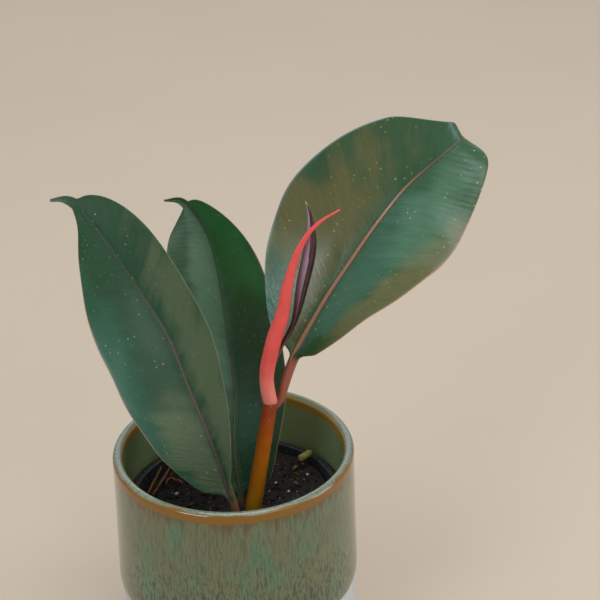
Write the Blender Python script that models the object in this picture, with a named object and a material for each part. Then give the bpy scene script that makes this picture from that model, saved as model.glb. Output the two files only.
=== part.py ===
"""Potted rubber plant: a young Ficus elastica in a nursery pot that stands inside a glazed cover pot.

Metres, +Z up.  The origin is the centre of the cover pot's flat foot, and the front faces -Y.
Heights of the plant are measured from the soil line, so the plant rides on the pot's dimensions.
"""
import math

import bmesh
import bpy
import numpy as np

# Driving dimensions, in metres.
GAP = 0.0003                  # left between two pieces that touch

POT_RADIUS = 0.060
POT_HEIGHT = 0.116
POT_WALL = 0.0049
POT_FLOOR = 0.006
POT_SWELL = 0.0008            # how far the glazed body stands out at its lower edge
POT_FOOT_CHAMFER = 0.0015
GLAZE_DROP = 0.072            # lip down to the lower edge of the glaze
GLAZE_ROLL = 0.0010           # how far the rolled edge of the glaze stands out over the bare clay

NURSERY_HEIGHT = 0.082
NURSERY_WALL = 0.0012
NURSERY_FLOOR = 0.0016
NURSERY_TAPER = 0.010         # rim radius less foot radius
NURSERY_RIM_BAND = 0.008
NURSERY_RIM_OVERHANG = 0.0015
NURSERY_PLAY = 0.0021         # between its rim and the cover pot's wall
DRAIN_RADIUS = 0.004
DRAIN_COUNT = 6
DRAIN_INSET = 0.012           # drain centre to the foot's edge

SOIL_BELOW_RIM = 0.0073       # nursery rim down to the soil line
SOIL_SLOPE = 0.0042           # how much higher the soil lies at the back right than at the front left
SOIL_WAVE = 0.0005

STEM_FOOT_RADIUS = 0.0042
STEM_TOP_RADIUS = 0.0034
STEM_NODE_SWELL = 0.0003
STEM_BURIED = 0.024
STEM_HEIGHT = 0.067           # soil line to tip
STEM_FOOT = (0.0083, -0.0080)
STEM_LEAN = (0.0117, 0.0020)  # how far the tip stands off the foot

LEAF_THICKNESS = 0.0007
LEAF_RIB_RADIUS = 0.0012      # half the width of the midrib in the middle of a blade
SHEATH_THICKNESS = 0.0005

# Each leaf: the petiole's and the midrib's points, from the soil line or from the stem's tip, then
# the shape of its blade.
# half_width is at the widest place, fullness below 0.5 squares the ends off, tip_share is the part
# of the length taken by the drip tip, beak fills the corner between blade and drip tip, twist turns
# the blade about its midrib from base to tip,
# fold lifts each half from flat along the midrib, left_drop lets the left half down again towards
# the tip, and curl bends each half on towards its edge.
LEAVES = {
    "leaf_front": {
        "grows_from": "soil",
        "petiole": [(0.0012, -0.0165, -0.0120), (0.0006, -0.0157, 0.0010)],
        "midrib": [(-0.0005, -0.0142, 0.0110), (-0.0109, -0.0066, 0.0452), (-0.0203, 0.0014, 0.0692),
                   (-0.0296, 0.0105, 0.0927), (-0.0433, 0.0201, 0.1140), (-0.0574, 0.0259, 0.1363),
                   (-0.0693, 0.0300, 0.1516), (-0.0766, 0.0296, 0.1577), (-0.0836, 0.0297, 0.1583)],
        "petiole_radius": 0.0021,
        "half_width": 0.0372,
        "fullness": 0.52,
        "widest": 1.15,
        "tip_share": 0.065, "beak": 0.0026,
        "twist": (-60, -17, -6, 51),
        "fold": 31,
        "left_drop": 0,
        "curl": 25,
        "faces": (0.11, -0.88, 0.46),
    },
    "leaf_back": {
        "grows_from": "soil",
        "petiole": [(0.0030, 0.0026, -0.0120), (0.0028, 0.0022, -0.0040)],
        "midrib": [(0.0025, 0.0030, 0.0030), (0.0003, 0.0125, 0.0285), (0.0014, 0.0265, 0.0508),
                   (-0.0016, 0.0390, 0.0733), (-0.0043, 0.0485, 0.0971), (-0.0091, 0.0570, 0.1209),
                   (-0.0153, 0.0596, 0.1337), (-0.0229, 0.0618, 0.1421), (-0.0314, 0.0628, 0.1416)],
        "petiole_radius": 0.0022,
        "half_width": 0.0338,
        "fullness": 0.36,
        "widest": 1.03,
        "tip_share": 0.075, "beak": 0.0016,
        "twist": (6, -5, -9, -33),
        "fold": 25,
        "left_drop": 0,
        "curl": 18,
        "faces": (0.04, -0.90, 0.45),
    },
    "leaf_right": {
        "grows_from": "stem tip",
        "petiole": [(-0.0008, 0.0000, -0.0070), (0.0037, 0.0020, -0.0032), (0.0066, 0.0036, 0.0050)],
        "midrib": [(0.0110, 0.0073, 0.0158), (0.0266, 0.0175, 0.0417), (0.0398, 0.0250, 0.0593),
                   (0.0533, 0.0320, 0.0766), (0.0680, 0.0371, 0.0936), (0.0859, 0.0417, 0.1079),
                   (0.0913, 0.0460, 0.1131), (0.0881, 0.0551, 0.1111), (0.0803, 0.0607, 0.1086)],
        "petiole_radius": 0.0024,
        "half_width": 0.0452,
        "fullness": 0.62,
        "widest": 1.0,
        "tip_share": 0.070, "beak": 0.0015,
        "twist": (-33, -28, -2, 16),
        "fold": 17,
        "left_drop": 18,
        "curl": 12,
        "faces": (-0.04, -0.90, 0.43),
    },
}

# The open red sheath that wrapped the newest leaf: its middle line from the stem's tip, its radius
# as shares of the cup that holds the tip, and its half angle of wrap.
SHEATH_LINE = [(-0.0004, 0.0000, -0.0025), (-0.0014, 0.0000, 0.0120), (0.0025, -0.0005, 0.0300),
               (0.0075, -0.0005, 0.0460), (0.0105, -0.0006, 0.0630), (0.0165, -0.0014, 0.0825),
               (0.0240, -0.0023, 0.0935), (0.0345, -0.0020, 0.1005)]
SHEATH_SHARES = (1.0, 0.95, 1.07, 1.0, 0.77, 0.42, 0.23, 0.09)
SHEATH_WRAP = (112, 104, 92, 88, 88, 100, 110, 120)
SHEATH_FACES = (-0.87, -0.50, 0.0)
SHEATH_PLAY = 0.0004

ROLLED_LINE = [(0.0001, 0.0001, 0.0006), (-0.0003, 0.0010, 0.0120), (0.0045, 0.0023, 0.0245),
               (0.0115, 0.0030, 0.0380), (0.0165, 0.0030, 0.0590), (0.0208, 0.0030, 0.0810),
               (0.0205, 0.0030, 0.0970), (0.0188, 0.0030, 0.1030)]
ROLLED_RADII = (0.0012, 0.00125, 0.0013, 0.0013, 0.0016, 0.0027, 0.0033, 0.0035, 0.0032, 0.0016,
                0.0002)

# Loose bits on the soil: a place as angle in degrees and share of the soil's radius, then a size
# or, along a strand or a root, the height over the soil.
PERLITE = [(162, 0.65, 0.0018), (138, 0.72, 0.0012), (28, 0.84, 0.0013), (38, 0.52, 0.0012),
           (14, 0.56, 0.0011), (215, 0.60, 0.0014), (262, 0.72, 0.0013), (318, 0.66, 0.0015),
           (96, 0.66, 0.0013)]
BARK_CHIPS = [(40, 0.80, 0.0030), (24, 0.68, 0.0026), (352, 0.70, 0.0028), (128, 0.72, 0.0030),
              (196, 0.78, 0.0027), (290, 0.52, 0.0029)]
DRIED_STRANDS = [
    [(147, 0.93, 0.0090), (156, 0.935, 0.0052), (165.5, 0.955, 0.0022)],
    [(141, 0.90, 0.0055), (153, 0.885, 0.0032), (164, 0.905, 0.0016)],
]
DRIED_STRAND_RADIUS = 0.0007
ROOT_CURL_LINE = [(151, 0.845, 0.0012), (147, 0.862, 0.0017), (144, 0.842, 0.0014),
                  (145, 0.79, 0.0013), (144, 0.745, 0.0015), (146, 0.68, 0.0012)]
ROOT_CURL_RADIUS = 0.0006
FALLEN_BUD_LENGTH = 0.0090
FALLEN_BUD_RADIUS = 0.0021
FALLEN_BUD_ANGLE = 40         # degrees round the pot from +X

# Sizes that follow from the ones above.
POT_INNER_RADIUS = POT_RADIUS - POT_WALL
NURSERY_RIM_RADIUS = POT_INNER_RADIUS - NURSERY_PLAY
NURSERY_BODY_RADIUS = NURSERY_RIM_RADIUS - NURSERY_RIM_OVERHANG
NURSERY_FOOT_RADIUS = NURSERY_RIM_RADIUS - NURSERY_TAPER
NURSERY_BASE_Z = POT_FLOOR + GAP
NURSERY_TOP_Z = NURSERY_BASE_Z + NURSERY_HEIGHT
SOIL_BASE_Z = NURSERY_BASE_Z + NURSERY_FLOOR + GAP
SOIL_LINE = NURSERY_TOP_Z - SOIL_BELOW_RIM
STEM_TIP = (STEM_FOOT[0] + STEM_LEAN[0], STEM_FOOT[1] + STEM_LEAN[1], SOIL_LINE + STEM_HEIGHT)
SHEATH_CUP_RADIUS = STEM_TOP_RADIUS + SHEATH_PLAY + SHEATH_THICKNESS

ROUND_SEGMENTS = 56
SOIL_SEGMENTS = 40


def clear_scene():
    """Remove what the start-up file holds."""
    for old in list(bpy.data.objects):
        bpy.data.objects.remove(old, do_unlink=True)


def material(name, hex_colour, roughness, metallic=0.0):
    """A Principled material from an sRGB hex colour."""
    made = bpy.data.materials.new(name)
    made.use_nodes = True
    shader = made.node_tree.nodes["Principled BSDF"]
    channels = [int(hex_colour[i:i + 2], 16) / 255 for i in (1, 3, 5)]
    linear = [c / 12.92 if c <= 0.04045 else ((c + 0.055) / 1.055) ** 2.4 for c in channels]
    shader.inputs["Base Color"].default_value = (*linear, 1.0)
    shader.inputs["Roughness"].default_value = roughness
    shader.inputs["Metallic"].default_value = metallic
    return made


def add_object(name, mesh, finish):
    """Link a mesh to the scene as a smooth-shaded object."""
    piece = bpy.data.objects.new(name, mesh)
    bpy.context.scene.collection.objects.link(piece)
    if finish is not None:
        mesh.materials.append(finish)
    mesh.shade_smooth()
    return piece


def loft(name, rings, finish):
    """Skin a run of rings that all have the same number of points, and cap both ends."""
    build = bmesh.new()
    loops = [[build.verts.new(tuple(point)) for point in ring] for ring in rings]
    count = len(loops[0])
    for near, far in zip(loops, loops[1:]):
        for i in range(count):
            j = (i + 1) % count
            build.faces.new((near[i], near[j], far[j], far[i]))
    build.faces.new(loops[0])
    build.faces.new(loops[-1])
    bmesh.ops.recalc_face_normals(build, faces=build.faces)
    mesh = bpy.data.meshes.new(name)
    build.to_mesh(mesh)
    build.free()
    return add_object(name, mesh, finish)


def turned(name, profile, segments, finish):
    """Turn an open profile of (radius, z) points round Z; its two ends are capped."""
    turns = [2 * math.pi * i / segments for i in range(segments)]
    rings = [[(r * math.cos(a), r * math.sin(a), z) for a in turns] for r, z in profile]
    return loft(name, rings, finish)


def cut(piece, cutter):
    """Subtract a cutter from a piece and keep the cutter as a hidden wire."""
    cutter.hide_render = True
    cutter.display_type = "WIRE"
    step = piece.modifiers.new("cut " + cutter.name, "BOOLEAN")
    step.operation = "DIFFERENCE"
    step.solver = "EXACT"
    step.object = cutter


def arc(centre, radius, start, end, steps):
    """Points of a profile arc about (radius, z) centre, between two angles in degrees."""
    angles = np.radians(np.linspace(start, end, steps))
    return [(centre[0] + radius * math.cos(a), centre[1] + radius * math.sin(a)) for a in angles]


def spline(points, samples):
    """Evenly spaced samples along a centripetal Catmull-Rom curve through the points."""
    knots = [np.array(p, float) for p in points]
    knots = [2 * knots[0] - knots[1]] + knots + [2 * knots[-1] - knots[-2]]
    fine = []
    for p0, p1, p2, p3 in zip(knots, knots[1:], knots[2:], knots[3:]):
        t1 = math.sqrt(np.linalg.norm(p1 - p0))
        t2 = t1 + math.sqrt(np.linalg.norm(p2 - p1))
        t3 = t2 + math.sqrt(np.linalg.norm(p3 - p2))
        for t in np.linspace(t1, t2, 24, endpoint=False):
            a1 = p0 * (t1 - t) / t1 + p1 * t / t1
            a2 = p1 * (t2 - t) / (t2 - t1) + p2 * (t - t1) / (t2 - t1)
            a3 = p2 * (t3 - t) / (t3 - t2) + p3 * (t - t2) / (t3 - t2)
            b1 = a1 * (t2 - t) / t2 + a2 * t / t2
            b2 = a2 * (t3 - t) / (t3 - t1) + a3 * (t - t1) / (t3 - t1)
            fine.append(b1 * (t2 - t) / (t2 - t1) + b2 * (t - t1) / (t2 - t1))
    fine.append(knots[-2])
    fine = np.array(fine)
    steps = np.linalg.norm(np.diff(fine, axis=0), axis=1)
    along = np.concatenate(([0.0], np.cumsum(steps)))
    wanted = np.asarray(samples) * along[-1]
    line = np.stack([np.interp(wanted, along, fine[:, k]) for k in range(3)], axis=1)
    return line, along[-1]


def rail_frames(line, faces):
    """Tangent, normal and side of a rail, with the normal carried along so that it never spins."""
    tangents = np.gradient(line, axis=0)
    tangents /= np.linalg.norm(tangents, axis=1)[:, None]
    normal = np.array(faces, float)
    normals = []
    for tangent in tangents:
        normal = normal - normal.dot(tangent) * tangent
        normal /= np.linalg.norm(normal)
        normals.append(normal.copy())
    normals = np.array(normals)
    return tangents, normals, np.cross(tangents, normals)


def tube_rings(line, radii, sides, faces=(0, -1, 0.2), grow=0.0):
    """Round rings along a line, each with its own radius."""
    _, normals, across = rail_frames(line, faces)
    turns = [2 * math.pi * i / sides for i in range(sides)]
    rings = []
    for centre, normal, side, radius in zip(line, normals, across, radii):
        reach = radius + grow
        rings.append([centre + reach * (math.cos(a) * side + math.sin(a) * normal) for a in turns])
    return rings


def placed(points, grows_from):
    """Move points given from the soil line or from the stem's tip to their real place."""
    start = STEM_TIP if grows_from == "stem tip" else (0.0, 0.0, SOIL_LINE)
    return [tuple(np.add(point, start)) for point in points]


def soil_radius(z):
    """Radius of the soil at a height: the nursery pot's tapered inside, less the gap."""
    share = (z - NURSERY_BASE_Z) / NURSERY_HEIGHT
    outside = NURSERY_FOOT_RADIUS + (NURSERY_BODY_RADIUS - NURSERY_FOOT_RADIUS) * share
    return outside - NURSERY_WALL - GAP


def soil_height(x, y):
    """The uneven top of the soil: a gentle slope with low waves."""
    slope = SOIL_SLOPE * (0.6 * x + 0.8 * y) / NURSERY_RIM_RADIUS
    bank = max(0.0, slope) * 0.6
    wave = SOIL_WAVE * (math.sin(210 * x + 1.0) + math.cos(260 * y - 0.5))
    return SOIL_LINE - 0.0006 + 0.5 * slope + bank + wave


def soil_top_under(x, y, reach):
    """Highest soil within reach of a place, for setting a loose bit down on it."""
    spots = [(x + reach * i / 2, y + reach * j / 2) for i in range(-2, 3) for j in range(-2, 3)]
    return max(soil_height(*spot) for spot in spots)


def soil_spot(angle, share):
    """A place on the soil from an angle in degrees and a share of the soil's radius."""
    reach = share * soil_radius(SOIL_LINE)
    return reach * math.cos(math.radians(angle)), reach * math.sin(math.radians(angle))


def over_soil(points):
    """Turn (angle, share, height over the soil) into places."""
    spots = [(*soil_spot(angle, share), height) for angle, share, height in points]
    return [(x, y, soil_height(x, y) + height) for x, y, height in spots]


def build_cover_pot(finish):
    """Straight-sided stoneware pot: flat foot, glazed body with a bead lip, open inside."""
    lip = POT_WALL / 2
    glaze_z = POT_HEIGHT - GLAZE_DROP
    clay_radius = POT_RADIUS + POT_SWELL - GLAZE_ROLL
    profile = [(POT_RADIUS - 0.004, 0.0), (clay_radius - POT_FOOT_CHAMFER, 0.0),
               (clay_radius, POT_FOOT_CHAMFER), (clay_radius, glaze_z - GLAZE_ROLL / 2),
               (clay_radius + GLAZE_ROLL / 2, glaze_z), (clay_radius + GLAZE_ROLL, glaze_z + 0.005),
               (POT_RADIUS + POT_SWELL * 0.6, glaze_z + 0.018),
               (POT_RADIUS + POT_SWELL * 0.2, POT_HEIGHT - 0.025)]
    profile += arc((POT_RADIUS - lip, POT_HEIGHT - lip), lip, 0, 180, 9)
    profile += [(POT_INNER_RADIUS, POT_HEIGHT - 0.030), (POT_INNER_RADIUS, POT_FLOOR + 0.004)]
    profile += arc((POT_INNER_RADIUS - 0.004, POT_FLOOR + 0.004), 0.004, -30, -90, 3)
    return turned("cover_pot", profile, ROUND_SEGMENTS, finish)


def build_nursery_pot(finish):
    """Tapered plastic liner with a stepped rim band and drain holes in its floor."""
    base, top = NURSERY_BASE_Z, NURSERY_TOP_Z
    inner_foot = NURSERY_FOOT_RADIUS - NURSERY_WALL
    inner_top = NURSERY_BODY_RADIUS - NURSERY_WALL
    edge = NURSERY_WALL / 2
    profile = [(0.004, base), (NURSERY_FOOT_RADIUS, base),
               (NURSERY_BODY_RADIUS, top - NURSERY_RIM_BAND),
               (NURSERY_RIM_RADIUS, top - NURSERY_RIM_BAND), (NURSERY_RIM_RADIUS, top - edge),
               (NURSERY_RIM_RADIUS - edge, top), (inner_top + edge, top), (inner_top, top - edge),
               (inner_foot, base + NURSERY_FLOOR), (0.004, base + NURSERY_FLOOR)]
    pot = turned("nursery_pot", profile, ROUND_SEGMENTS, finish)
    reach = NURSERY_FOOT_RADIUS - DRAIN_INSET
    for i in range(DRAIN_COUNT):
        turn = 2 * math.pi * (i + 0.3) / DRAIN_COUNT
        x, y = reach * math.cos(turn), reach * math.sin(turn)
        line = np.array([(x, y, base - 0.003), (x, y, base + NURSERY_FLOOR + 0.003)])
        rings = tube_rings(line, [DRAIN_RADIUS] * 2, 12)
        cut(pot, loft("drain_cutter_%d" % (i + 1), rings, None))
    return pot


def build_soil(finish):
    """Potting mix that fills the nursery pot, with an uneven top and a hole for each stalk."""
    turns = [2 * math.pi * i / SOIL_SEGMENTS for i in range(SOIL_SEGMENTS)]
    base_radius = soil_radius(SOIL_BASE_Z) - GAP
    edge_radius = soil_radius(SOIL_LINE - 0.003)
    rings = []
    for radius, z in ((base_radius * 0.3, SOIL_BASE_Z), (base_radius, SOIL_BASE_Z)):
        rings.append([(radius * math.cos(a), radius * math.sin(a), z) for a in turns])
    for share in (1.0, 0.92, 0.80, 0.66, 0.52, 0.38, 0.24, 0.10):
        ring = []
        for a in turns:
            x, y = share * edge_radius * math.cos(a), share * edge_radius * math.sin(a)
            ring.append((x, y, soil_height(x, y)))
        rings.append(ring)
    soil = loft("soil", rings, finish)
    cut(soil, loft("stem_hole_cutter", stem_rings(GAP), None))
    for name in ("leaf_front", "leaf_back"):
        stalk = LEAVES[name]["petiole"] + LEAVES[name]["midrib"][:1]
        line, _ = spline(placed(stalk, "soil"), np.linspace(0, 1, 6))
        line[0] -= (0, 0, GAP)
        radii = [LEAVES[name]["petiole_radius"]] * len(line)
        cut(soil, loft(name + "_hole_cutter", tube_rings(line, radii, 14, grow=GAP), None))
    return soil


def stem_rings(grow=0.0):
    """The stem leans to the right, thins upwards and swells a little at its leaf nodes."""
    foot = np.array((*STEM_FOOT, SOIL_LINE))
    rise = np.array(STEM_TIP) - foot
    node_shares = (0.18, 0.64)
    shares = [-STEM_BURIED / STEM_HEIGHT, -0.1, 0.05, 0.14, 0.18, 0.22, 0.45, 0.60, 0.64, 0.68,
              0.86, 0.96, 1.0]
    line = np.array([foot + rise * share for share in shares])
    radii = [STEM_FOOT_RADIUS + (STEM_TOP_RADIUS - STEM_FOOT_RADIUS) * share for share in shares]
    radii = [r + STEM_NODE_SWELL * (share in node_shares) for r, share in zip(radii, shares)]
    radii[-1] *= 0.62
    overrun = grow * rise / STEM_HEIGHT
    line[0] -= overrun
    line[-1] += overrun
    return tube_rings(line, radii, 16, grow=grow)


def half_width(leaf, t):
    """Half the blade's width at a share t of its length, running into a narrow drip tip."""
    body_end = 1.0 - leaf["tip_share"]
    along = min(1.0, t / body_end) ** leaf["widest"]
    body = max(0.0, math.sin(math.pi * along)) ** leaf["fullness"]
    tail = 0.0016 * math.sqrt(min(1.0, (1.0 - t) / 0.12))
    beak = leaf["beak"] * math.exp(-((t - body_end) / 0.045) ** 2)
    return math.hypot(leaf["half_width"] * body, tail + beak) + 0.0002


def blade_section(width, rib, folds, curl):
    """Outline of a blade across its midrib as (across, lift) points, upper face first.

    folds are the angles at which the right and the left half leave the midrib.
    """
    inner = [0.0, rib]
    outer = [rib + (width - rib) * share for share in (0.18, 0.42, 0.68, 0.93)]
    distances = inner + [max(d, rib * 1.05) for d in outer] + [width]
    half_sheet = LEAF_THICKNESS / 2
    halves = []
    for fold in folds:
        half = []
        for distance in distances:
            reach = distance / width
            across = width * (math.sin(fold + curl * reach) - math.sin(fold)) / curl
            lift = width * (math.cos(fold) - math.cos(fold + curl * reach)) / curl
            swell = rib * math.sqrt(max(0.0, 1 - (distance / rib) ** 2))
            sheet = half_sheet if distance < width else 0.0
            half.append((across, lift + sheet + 0.25 * swell, lift - sheet - 1.1 * swell))
        halves.append(half)
    right, left = halves
    return ([(a, up) for a, up, _ in right[::-1]] + [(-a, up) for a, up, _ in left[1:]]
            + [(-a, down) for a, _, down in left[-2::-1]] + [(a, down) for a, _, down in right[1:-1]])


def leaf_rings(leaf):
    """One loft from the buried or joined end of the petiole to the drip tip."""
    whole = placed(leaf["petiole"] + leaf["midrib"], leaf["grows_from"])
    _, petiole_length = spline(whole[:len(leaf["petiole"]) + 1], (0, 1))
    _, length = spline(whole, (0, 1))
    shares = 0.5 - 0.5 * np.cos(np.pi * np.linspace(0, 1, 25))
    shares = 0.5 * shares + 0.5 * np.linspace(0, 1, 25)
    start = petiole_length / length
    samples = np.concatenate((np.linspace(0, start, 6)[:-1], start + (1 - start) * shares))
    line, _ = spline(whole, samples)
    _, normals, across = rail_frames(line, leaf["faces"])
    twist_curve = np.polyfit(np.linspace(0, 1, 4), leaf["twist"], 3)
    rings = []
    for centre, normal, side, sample in zip(line, normals, across, samples):
        t = max(0.0, (sample - start) / (1 - start))
        turn = math.radians(np.polyval(twist_curve, t))
        lifted = normal * math.cos(turn) + side * math.sin(turn)
        sideways = side * math.cos(turn) - normal * math.sin(turn)
        rib = leaf["petiole_radius"] + (LEAF_RIB_RADIUS - leaf["petiole_radius"]) * min(1, t / 0.15)
        rib *= 1 - 0.75 * max(0.0, t - 0.15)
        width = max(half_width(leaf, t), rib * 1.3)
        drop = leaf["left_drop"] * min(1.0, max(0.0, (t - 0.55) / 0.35)) ** 2
        folds = (math.radians(leaf["fold"]), math.radians(leaf["fold"] - drop))
        flat = blade_section(width, min(rib, width * 0.6), folds, math.radians(leaf["curl"]))
        blend = min(1.0, t / 0.06) if sample > start else 0.0
        ring = []
        for i, (a, lift) in enumerate(flat):
            round_turn = 2 * math.pi * i / len(flat)
            radius = leaf["petiole_radius"]
            a = blend * a + (1 - blend) * radius * math.cos(round_turn)
            lift = blend * lift + (1 - blend) * radius * math.sin(round_turn)
            ring.append(centre + a * sideways + lift * lifted)
        rings.append(ring)
    return rings


def build_leaves(finish):
    """Three leaves, each a blade and petiole in one; the right one clasps the stem."""
    for name, leaf in LEAVES.items():
        piece = loft(name, leaf_rings(leaf), finish)
        if name == "leaf_right":
            cut(piece, loft("petiole_saddle_cutter", stem_rings(GAP), None))


def build_red_sheath(finish):
    """The opened bud sheath: a rolled strip that cups the stem's tip and tapers to a curled point."""
    samples = np.linspace(0, 1, 22)
    line, _ = spline(placed(SHEATH_LINE, "stem tip"), samples)
    at = np.linspace(0, 1, len(SHEATH_SHARES))
    radii = SHEATH_CUP_RADIUS * np.interp(samples, at, SHEATH_SHARES)
    wraps = np.radians(np.interp(samples, at, SHEATH_WRAP))
    _, normals, across = rail_frames(line, SHEATH_FACES)
    rings = []
    for centre, normal, side, radius, wrap in zip(line, normals, across, radii, wraps):
        wall = min(SHEATH_THICKNESS, 0.6 * radius)
        turns = np.linspace(-wrap, wrap, 10)
        outer = [centre + radius * (math.cos(a) * normal + math.sin(a) * side) for a in turns]
        inner = [centre + (radius - wall) * (math.cos(a) * normal + math.sin(a) * side)
                 for a in turns[::-1]]
        rings.append(outer + inner)
    return loft("red_sheath", rings, finish)


def build_rolled_leaf(finish):
    """The newest leaf, still rolled into a spindle on its own short stalk."""
    samples = np.linspace(0, 1, 22)
    line, _ = spline(placed(ROLLED_LINE, "stem tip"), samples)
    radii = np.interp(samples, np.linspace(0, 1, len(ROLLED_RADII)), ROLLED_RADII)
    return loft("rolled_leaf", tube_rings(line, radii, 12), finish)


def build_dried_strands(finish):
    """Two dried strips of an old bud sheath, leaning on the soil at the left."""
    for number, points in enumerate(DRIED_STRANDS, 1):
        line, _ = spline(over_soil(points), np.linspace(0, 1, 7))
        radii = DRIED_STRAND_RADIUS * np.array([0.6, 1, 1, 1, 1, 0.8, 0.4])
        loft("dried_strand_%d" % number, tube_rings(line, radii, 8, faces=(0, 0, 1)), finish)


def build_root_curl(finish):
    """A bare root that loops over the soil."""
    line, _ = spline(over_soil(ROOT_CURL_LINE), np.linspace(0, 1, 14))
    radii = [ROOT_CURL_RADIUS * (0.5 if i in (0, 13) else 1.0) for i in range(14)]
    return loft("root_curl", tube_rings(line, radii, 8, faces=(0, 0, 1)), finish)


def build_fallen_bud(finish):
    """A shed bud that leans from the soil on to the nursery pot's rim."""
    turn = math.radians(FALLEN_BUD_ANGLE)
    rim_reach = NURSERY_RIM_RADIUS - 0.002
    rim_z = NURSERY_TOP_Z + GAP + FALLEN_BUD_RADIUS
    outward = np.array([math.cos(turn), math.sin(turn), 0.0])
    tip = outward * rim_reach + (0, 0, rim_z)
    foot = outward * (rim_reach - FALLEN_BUD_LENGTH) + (0, 0, rim_z - 0.0008)
    samples = np.array([0.0, 0.06, 0.25, 0.5, 0.62, 0.75, 0.92, 1.0])
    line = foot + samples[:, None] * (tip - foot)
    radii = FALLEN_BUD_RADIUS * np.array([0.45, 0.8, 0.92, 0.85, 0.85, 1.0, 0.8, 0.35])
    return loft("fallen_bud", tube_rings(line, radii, 12, faces=(0, 0, 1)), finish)


def lump(name, place, size, squash, seed, finish):
    """An irregular crumb: an icosphere whose points are pushed in and out, flattened, set down."""
    x, y = soil_spot(*place)
    build = bmesh.new()
    bmesh.ops.create_icosphere(build, subdivisions=1, radius=size)
    draw = np.random.default_rng(seed)
    pushes = draw.uniform(0.80, 1.0, len(build.verts))
    turn = draw.uniform(0, math.pi)
    for vertex, push in zip(build.verts, pushes):
        px, py, pz = vertex.co * float(push)
        px *= squash[0]
        py *= squash[1]
        vertex.co = (px * math.cos(turn) - py * math.sin(turn),
                     px * math.sin(turn) + py * math.cos(turn), pz * squash[2])
    mesh = bpy.data.meshes.new(name)
    build.to_mesh(mesh)
    build.free()
    piece = add_object(name, mesh, finish)
    piece.location = (x, y, soil_top_under(x, y, size) + size * squash[2] + GAP)
    return piece


def build_loose_bits(perlite, bark):
    """White perlite grains and brown bark chips that lie on the soil."""
    for number, (angle, share, size) in enumerate(PERLITE, 1):
        lump("perlite_%d" % number, (angle, share), size, (1.1, 0.9, 0.8), number, perlite)
    for number, (angle, share, size) in enumerate(BARK_CHIPS, 1):
        lump("bark_chip_%d" % number, (angle, share), size, (1.0, 0.6, 0.3), 40 + number, bark)


def main():
    clear_scene()
    build_cover_pot(material("glazed stoneware", "#7D8468", 0.18))
    build_nursery_pot(material("black polypropylene", "#1A1C1C", 0.45))
    build_soil(material("peat potting mix", "#1B1613", 0.95))
    loft("stem", stem_rings(), material("green bark", "#8A4A12", 0.45))
    build_leaves(material("leathery leaf", "#31452F", 0.30))
    build_red_sheath(material("bud sheath", "#E8403F", 0.40))
    build_rolled_leaf(material("young leaf", "#4B2029", 0.25))
    dried = material("dried sheath", "#A86A32", 0.75)
    build_dried_strands(dried)
    build_root_curl(material("dry root", "#8A5A30", 0.80))
    build_fallen_bud(material("shed bud", "#A79A4E", 0.60))
    build_loose_bits(material("perlite", "#E4E0D2", 0.90), material("pine bark", "#6E4A2A", 0.85))


main()
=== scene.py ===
"""Potted rubber plant: the finished look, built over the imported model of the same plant.

Metres, +Z up, front towards -Y.  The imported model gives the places; every piece here stands for
one or more of its nodes and rides on its one body.
"""

import math

import bmesh
import bpy
import numpy as np
from bpy.props import FloatProperty, FloatVectorProperty, IntProperty, PointerProperty
from mathutils import Matrix, Vector, noise


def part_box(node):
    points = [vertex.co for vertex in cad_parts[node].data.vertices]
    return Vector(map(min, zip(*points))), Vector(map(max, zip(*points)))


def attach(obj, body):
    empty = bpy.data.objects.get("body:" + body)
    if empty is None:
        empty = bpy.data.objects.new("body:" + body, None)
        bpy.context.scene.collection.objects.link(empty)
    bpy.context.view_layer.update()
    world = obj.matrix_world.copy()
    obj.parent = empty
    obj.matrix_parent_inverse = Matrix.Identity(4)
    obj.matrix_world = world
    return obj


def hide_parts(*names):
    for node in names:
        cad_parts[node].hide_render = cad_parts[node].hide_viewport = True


bl_info = {
    "name": "Potted Rubber Plant",
    "version": (1, 0, 0),
    "blender": (4, 5, 0),
    "location": "View3D > Sidebar > Rubber Plant",
    "description": "Builds the finished pot, soil and leaves over the packed model of the plant",
    "category": "Object",
}

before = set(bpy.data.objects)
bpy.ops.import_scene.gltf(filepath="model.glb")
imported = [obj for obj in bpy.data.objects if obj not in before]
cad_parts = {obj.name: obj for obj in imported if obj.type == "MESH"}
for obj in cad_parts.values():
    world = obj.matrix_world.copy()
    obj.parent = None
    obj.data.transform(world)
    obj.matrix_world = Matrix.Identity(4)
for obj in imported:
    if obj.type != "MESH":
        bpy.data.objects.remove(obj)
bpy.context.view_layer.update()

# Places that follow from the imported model.
POT_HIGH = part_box("cover_pot")[1]
POT_HEIGHT = POT_HIGH.z
SWOLLEN_RADIUS = POT_HIGH.x
POT_SWELL = 0.0008
NURSERY_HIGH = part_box("nursery_pot")[1]
NURSERY_RIM_RADIUS = NURSERY_HIGH.x
SOIL_LOW, SOIL_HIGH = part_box("soil")
SOIL_BELOW_RIM = 0.0073
SOIL_LINE = NURSERY_HIGH.z - SOIL_BELOW_RIM
SOIL_RADIUS = SOIL_HIGH.x
SOIL_SLOPE = 0.0042
SOIL_WAVE = 0.0005
STEM_FOOT = (0.0083, -0.0080, SOIL_LINE)
STEM_TIP = (0.0200, -0.0060, SOIL_LINE + 0.067)

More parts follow.
